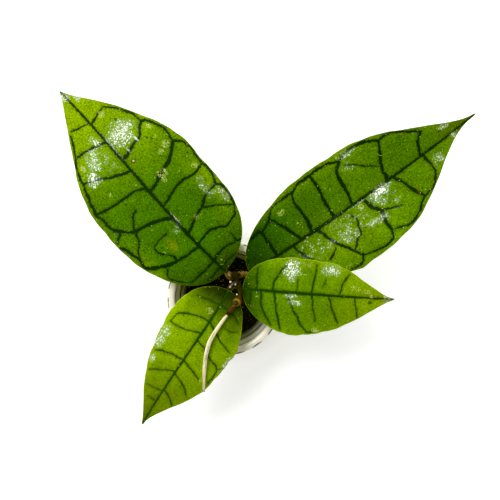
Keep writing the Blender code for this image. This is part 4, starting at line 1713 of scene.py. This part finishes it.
LEAVES = (
    Leaf(
        name="leaf_upper_left",
        midrib=((0.9, 19.8, 82.5), (-36.3, 53.6, 98.0), (-72.3, 103.1, 96.0), (-119.2, 149.0, 73.5)),
        left=Half(42.8, 0.46, 2.35, 1.87, 1.28, veins=(
            (7, 3, 0, 3, 80), (11, 7, 0, 7, 43, 8, 89), (8, 19, 74, 16, 90, 12, 93, 8, 89),
            (18, 16, 0, 17, 28, 18, 50, 20, 72, 22, 88, 25, 94, 29, 90), (14, 29, 90, 34, 92, 37, 97),
            (9, 18, 50, 21, 49, 24, 57, 28, 58, 29, 42, 29, 25), (8, 38, 60, 34, 68, 30, 85, 28, 90),
            (7, 41, 82, 39, 95), (8, 39, 60, 42, 50, 43, 48, 44, 37),
            (18, 32, 0, 35, 18, 37, 43, 38, 61, 41, 76, 45, 87, 53, 91),
            (13, 48, 0, 50, 19, 51, 60, 53, 91), (12, 53, 91, 58, 91, 65, 88),
            (13, 57, 0, 59, 25, 62, 53, 65, 88), (10, 65, 88, 69, 93, 75, 91, 83, 86),
            (11, 72, 0, 74, 53, 75, 91), (9, 82, 0, 83, 44, 84, 80),
        )),
        right=Half(42.6, 0.48, 3.75, 1.96, 1.355, veins=(
            (7, 3, 0, 2, 90), (14, 7, 0, 8, 23, 8, 40, 6, 71, 5, 98), (7, 6, 76, 10, 68),
            (14, 17, 0, 18, 27, 16, 51, 14, 67, 15, 90), (16, 23, 0, 26, 29, 28, 50, 30, 63, 31, 88),
            (9, 27, 49, 23, 73, 19, 94), (11, 31, 88, 29, 95, 25, 97, 19, 95, 15, 90),
            (11, 31, 88, 33, 93, 37, 97, 41, 96), (14, 38, 0, 40, 27, 41, 51, 40, 73, 41, 96),
            (18, 46, 0, 47, 19, 49, 36, 50, 54, 53, 72, 55, 84), (12, 55, 84, 53, 94, 49, 96, 41, 96),
            (16, 62, 0, 64, 34, 65, 54, 68, 72, 69, 85), (12, 69, 85, 68, 92, 61, 93, 55, 84),
            (10, 69, 85, 73, 94, 77, 92, 83, 82), (11, 81, 0, 82, 40, 83, 82),
        )),
        fold=(8, 4), wave=0.8, stalk=((7.6, 16.3, 78.6, 2.4), (4.2, 16.2, 77.8, 2.9), (1.2, 18.7, 78.4, 2.1)),
        spots={
            Patch.SHINE: (
                (0.705, -0.38, 7, 8, 1.0), (0.735, 0.22, 5, 4, 0.7), (0.715, 0.42, 5, 5, 0.65),
                (0.68, 0.52, 5, 6, 0.75), (0.635, 0.65, 5, 4, 0.9), (0.66, 0.25, 12, 9, 0.26),
                (0.97, 0.25, 4, 2.5, 0.9), (0.93, -0.85, 3, 2, 0.8), (0.33, -0.75, 9, 4, 0.5),
                (0.25, -0.9, 7, 3, 0.6), (0.285, 0.08, 6, 4, 0.35),
            ),
            Patch.GLINT: (
                (0.70, -0.03, 12, 0.7, 0.6), (0.65, -0.47, 4, 0.9, 0.7), (0.635, -0.21, 2.5, 0.9, 0.6),
                (0.31, -0.03, 7, 0.6, 0.8),
            ),
            Patch.PALE: (
                (0.33, -0.88, 26, 6, 0.6), (0.24, 0.90, 18, 4, 0.5), (0.19, -0.80, 9, 8, 0.35),
                (0.45, -0.80, 12, 8, 0.35), (0.62, -0.62, 16, 12, 0.30),
            ),
            Patch.FLECK: (
                (0.655, -0.81, 2.2, 1.6, 1.0), (0.562, -0.73, 2.6, 2.6, 1.0), (0.55, -0.58, 2.2, 2, 1.0),
                (0.473, -0.31, 5, 1.6, 1.0), (0.483, -0.39, 3, 1.8, 1.0), (0.426, -0.84, 2, 2, 1.0),
                (0.694, 0.78, 2.4, 2, 0.9), (0.811, -0.49, 2.4, 2.4, 1.0), (0.26, -0.30, 4, 4, 0.45),
            ),
            Patch.STAIN: (
                (0.627, -0.61, 1.1, 1, 1.0), (0.612, -0.65, 1.1, 0.8, 1.0), (0.757, -0.58, 1.2, 1.2, 1.0),
                (0.482, -0.88, 0.9, 0.9, 1.0), (0.482, 0.43, 1.1, 0.8, 0.9), (0.435, 0.38, 1, 0.8, 0.9),
            ),
            Patch.WARM: ((0.24, 0.33, 4, 2.2, 1.0),),
            Patch.SCAR: ((0.593, -0.14, 1.3, 1.3, 1.0),),
        },
        finish=MATURE_LEAF, slot="netted_leaf",
    ),
    Leaf(
        name="leaf_upper_right",
        midrib=((18.2, 17.6, 80.0), (67.2, 50.1, 84.0), (120.2, 85.6, 98.0), (173.3, 128.6, 93.9)),
        left=Half(38.3, 0.43, 1.96, 2.52, 1.69, veins=(
            (14, 13, 0, 13, 38, 13, 78, 11, 85, 7, 96), (12, 24, 0, 23, 23, 21, 47, 19, 74, 14, 77),
            (9, 18, 77, 20, 91, 22, 96), (14, 29, 0, 30, 28, 30, 75, 31, 86), (10, 31, 86, 27, 90, 22, 96),
            (15, 39, 0, 39, 32, 40, 60, 40, 91), (11, 40, 91, 34, 92, 31, 84),
            (16, 47, 0, 48, 29, 48, 50, 49, 69, 52, 83), (11, 52, 83, 46, 92, 40, 91), (5, 53, 69, 62, 36),
            (15, 62, 0, 63, 33, 65, 55, 67, 83), (12, 67, 83, 64, 92, 60, 92, 55, 90, 52, 83),
            (12, 76, 0, 78, 45, 81, 77), (10, 81, 77, 76, 93, 72, 95, 67, 83),
        )),
        right=Half(40.3, 0.37, 0.96, 3.06, 2.72, veins=(
            (12, 10, 0, 11, 40, 14, 85), (12, 20, 0, 22, 40, 26, 85),
            (15, 31, 0, 33, 27, 35, 46, 38, 66, 40, 83), (10, 40, 83, 38, 92, 33, 96),
            (9, 38, 67, 42, 53, 44, 44, 45, 24, 44, 11), (7, 29, 66, 33, 49),
            (15, 51, 0, 52, 23, 54, 39, 53, 57, 53, 79), (10, 53, 79, 51, 91, 46, 91, 40, 83),
            (8, 54, 38, 61, 57), (14, 64, 0, 66, 25, 67, 55, 69, 85), (10, 69, 85, 63, 94, 59, 93, 54, 81),
            (12, 77, 0, 77, 39, 77, 75), (9, 77, 75, 74, 93, 69, 87),
        )),
        fold=(14, 14), curl=3.0, wave=1.2,
        stalk=((7.6, 16.6, 79.4, 2.2), (11.7, 17.2, 78.6, 2.4), (15.1, 17.6, 78.2, 1.9)),
        spots={
            Patch.SHINE: (
                (0.585, -0.07, 6, 3, 1.0), (0.555, -0.12, 4, 4, 1.0), (0.57, -0.25, 5, 5, 0.5),
                (0.495, -0.45, 4, 2.2, 0.8), (0.405, -0.42, 7, 6, 0.55), (0.40, -0.30, 24, 12, 0.30),
                (0.25, -0.35, 16, 10, 0.28), (0.53, -0.50, 5, 3, 0.60), (0.60, -0.40, 8, 8, 0.28),
                (0.54, 0.66, 9, 6, 0.28), (0.55, 0.88, 6, 2, 0.8), (0.80, -0.61, 5, 3, 0.6),
                (0.88, 0.74, 4, 2, 0.7), (0.89, -0.32, 3, 2, 0.6),
            ),
            Patch.GLINT: ((0.50, -0.03, 9, 0.8, 0.5), (0.40, 0.0, 16, 0.7, 0.35)),
            # the large pale patch across the right half is partly fresher green and partly painted reflection
            Patch.PALE: (
                (0.45, 0.92, 60, 7, 0.5), (0.38, -0.45, 44, 18, 0.75), (0.75, -0.5, 16, 10, 0.3),
                (0.52, 0.60, 18, 10, 0.30),
            ),
            Patch.FLECK: ((0.235, 0.73, 3, 2, 1.0), (0.49, -0.10, 2, 2, 0.9), (0.30, -0.94, 16, 1.6, 0.5)),
            Patch.STAIN: ((0.67, -0.55, 1.3, 1, 1.0), (0.86, 0.5, 1.5, 0.7, 0.8)),
            Patch.SCAR: ((0.68, -0.66, 1.0, 1.0, 0.6),),
        },
        finish=GLOSSY_LEAF, slot="netted_leaf", vein_scale=1.4, midrib_width=1.5,
    ),
    Leaf(
        name="leaf_lower_left",
        midrib=((3.7, 7.1, 96.0), (-7.3, -13.9, 104.0), (-36.3, -50.9, 96.0), (-57.6, -87.8, 85.6)),
        left=Half(26.8, 0.35, 1.13, 3.6, 2.05, veins=(
            (8, 14, 0, 15, 53, 19, 85), (9, 28, 0, 34, 45, 38, 82), (5, 27, 46, 26, 71, 24, 90),
            (9, 42, 0, 44, 30, 47, 51, 50, 80, 55, 92, 60, 93), (6, 52, 84, 48, 99, 44, 99),
            (8, 56, 0, 59, 41, 61, 63), (8, 65, 0, 68, 40, 73, 80), (7, 76, 0, 79, 50, 82, 87),
        )),
        right=Half(26.4, 0.325, 1.62, 2.75, 1.4, veins=(
            (9, 14, 0, 16, 49, 17, 80), (10, 28, 0, 29, 25, 31, 51, 34, 74, 39, 82, 43, 84),
            (9, 37, 0, 40, 31, 42, 60, 43, 83), (9, 56, 0, 57, 35, 59, 67, 61, 88),
            (8, 64, 0, 67, 38, 72, 86), (5, 77, 0, 79, 83), (5, 84, 0, 84, 64),
        )),
        stalk=((10.3, 10.1, 92.6, 2.3), (6.7, 10.6, 92.6, 2.7), (4.6, 8.5, 93.6, 2.1)),
        spots={
            Patch.SHINE: (
                (0.49, -0.86, 4, 3, 0.9), (0.55, -0.86, 4, 3, 0.9), (0.65, -0.83, 3, 2, 0.7),
                (0.45, 0.96, 7, 1.5, 0.8),
            ),
            Patch.PALE: ((0.25, -0.55, 9, 8, 0.15), (0.42, -0.9, 24, 4, 0.4)),
            Patch.FLECK: (
                (0.22, -0.18, 2.4, 2.4, 1.0), (0.66, -0.86, 3, 1.6, 0.8), (0.60, 0.72, 2, 2, 0.7),
            ),
            Patch.STAIN: ((0.565, -0.22, 1.1, 1.1, 0.8), (0.70, 0.40, 0.8, 0.8, 0.8)),
        },
        finish=YOUNG_LEAF, slot="young_leaf", stalk_finish=DARK_STALK, midrib_width=1.5, vein_scale=1.0,
    ),
    Leaf(
        name="leaf_right",
        midrib=((12.9, 8.2, 97.0), (44.7, 6.1, 106.0), (78.2, 3.1, 104.0), (118.1, 0.5, 91.7)),
        left=Half(23.4, 0.39, 2.9, 2.96, 1.82, veins=(
            (9, 3, 0, 2, 45, 1, 98), (9, 10, 0, 10, 49, 10, 84), (10, 21, 0, 22, 33, 26, 64, 30, 78),
            (5, 37, 0, 38, 42), (8, 47, 0, 48, 37, 50, 87), (5, 54, 22, 56, 47), (7, 65, 0, 67, 43, 71, 87),
        )),
        right=Half(28.9, 0.347, 1.6, 2.34, 1.387, veins=(
            (8, 6, 0, 6, 47, 4, 97), (10, 13, 0, 14, 39, 16, 68, 21, 91),
            (10, 22, 0, 24, 34, 26, 65, 28, 92), (9, 31, 0, 35, 33, 40, 63, 45, 88, 50, 93),
            (8, 47, 0, 49, 34, 51, 67), (8, 58, 0, 62, 45, 66, 83), (7, 75, 0, 76, 48, 78, 96),
        )),
        stalk=((10.9, 8.9, 94.8, 1.75), (12.3, 8.4, 94.6, 1.75)),
        spots={
            Patch.SHINE: (
                (0.335, 0.64, 4.5, 5.4, 1.2), (0.595, 0.77, 5, 3.2, 1.1), (0.33, -0.08, 3.4, 1.4, 1.2),
                (0.36, -0.22, 4.5, 1.6, 0.9), (0.965, 0.0, 4, 3, 0.8), (0.40, 0.85, 10, 2, 0.4),
            ),
            Patch.PALE: ((0.45, 0.9, 30, 4, 0.3),),
            Patch.FLECK: (
                (0.735, 0.40, 1.6, 1.6, 1.0), (0.768, 0.38, 2, 1.6, 1.0), (0.82, 0.40, 3, 1.4, 0.9),
                (0.853, 0.12, 1.5, 1.5, 0.8), (0.516, -0.89, 2.6, 1.6, 1.0),
            ),
            Patch.STAIN: ((0.845, -0.32, 1.6, 1.4, 0.9),),
        },
        finish=HALF_GROWN_LEAF, slot="young_leaf", stalk_finish=DARK_STALK, midrib_width=1.6, vein_scale=1.2,
    ),
)


@dataclass
class Studio:
    """White floor, one large soft light from the upper left and a camera that looks straight down."""
    eye: tuple = (18.1, 34.6, 525.0)
    lens: float = 45.2
    sensor: float = 36.0
    floor_size: float = 3000.0
    floor_faces: int = 40
    floor_level: float = -0.2
    key_from: tuple = (-0.27, 0.36, 0.88)
    key_distance: float = 1100.0
    key_size: float = 360.0
    key_power: float = 7.0
    zenith_light: float = 0.32
    horizon_light: float = 0.95
    side_light: float = 0.55     # how much stronger the light is from the key's side than from the other
    blue_black: float = 0.02     # level of blue that turns black, which keeps the greens rich

    def build(self) -> None:
        """Place the floor, the light, the world and the camera."""
        shell, row, column = grid(self.floor_faces, self.floor_faces)
        x, y = ((number / (self.floor_faces / 2) - 1.0) * self.floor_size / 2 for number in (row, column))
        place_points(shell, np.column_stack((x, y, np.full(len(x), self.floor_level))))
        mesh = as_mesh("floor", shell)
        mesh.materials.append(FloorFinish().material("white_floor"))
        floor = stand("floor", mesh)
        self.add_light()
        self.add_world()
        self.add_camera()

    def add_light(self) -> None:
        """The soft key light."""
        lamp = bpy.data.lights.new("key", "AREA")
        lamp.shape = "SQUARE"
        lamp.size = self.key_size * MM
        lamp.energy = self.key_power
        light = stand("key", lamp)
        direction = Vector(self.key_from).normalized()
        light.location = direction * self.key_distance * MM
        light.rotation_euler = direction.to_track_quat("Z", "Y").to_euler()

    def add_world(self) -> None:
        """White walls under a dimmer ceiling, so that the leaves mirror little but the key light."""
        graph = Graph(bpy.data.worlds.new("studio"))
        view = graph.add("ShaderNodeTexCoord").outputs["Generated"]
        axes = graph.add("ShaderNodeSeparateXYZ", None, {"Vector": view})
        x, y, height = (Signal(graph, axes.outputs[axis]) for axis in "XYZ")
        dimming = self.horizon_light - self.zenith_light
        strength = self.horizon_light - graph.soften(height, 0.45, 0.75) * dimming
        strength = strength * ((y * 0.8 - x * 0.6) * self.side_light + 1.0)
        walls = graph.add("ShaderNodeBackground", None, {"Color": (1.0, 1.0, 1.0), "Strength": strength})
        graph.add("ShaderNodeOutputWorld", None, {"Surface": walls.outputs["Background"]})
        bpy.context.scene.world = graph.owner
        view = bpy.context.scene.view_settings
        view.view_transform = "Standard"
        view.use_curve_mapping = True
        view.curve_mapping.black_level = (0.0, 0.0, self.blue_black)
        view.curve_mapping.update()

    def add_camera(self) -> None:
        """The camera straight above the plant."""
        camera = bpy.data.cameras.new("camera")
        camera.lens = self.lens
        camera.sensor_width = self.sensor
        camera.clip_start = 0.01
        holder = stand("camera", camera)
        holder.location = Vector(self.eye) * MM
        bpy.context.scene.camera = holder


def main() -> None:
    """Dress every piece of the plant, then set the studio."""
    logging.basicConfig(level=logging.INFO, format="%(name)s %(message)s")
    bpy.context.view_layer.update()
    for sub_assembly in (Cachepot(), NurseryPot(), PottingMix(), Stem(), DriedShoot(), *LEAVES):
        sub_assembly.build()
    Studio().build()
    log.info("studio: floor, light and camera are in place")


if __name__ == "__main__":
    main()
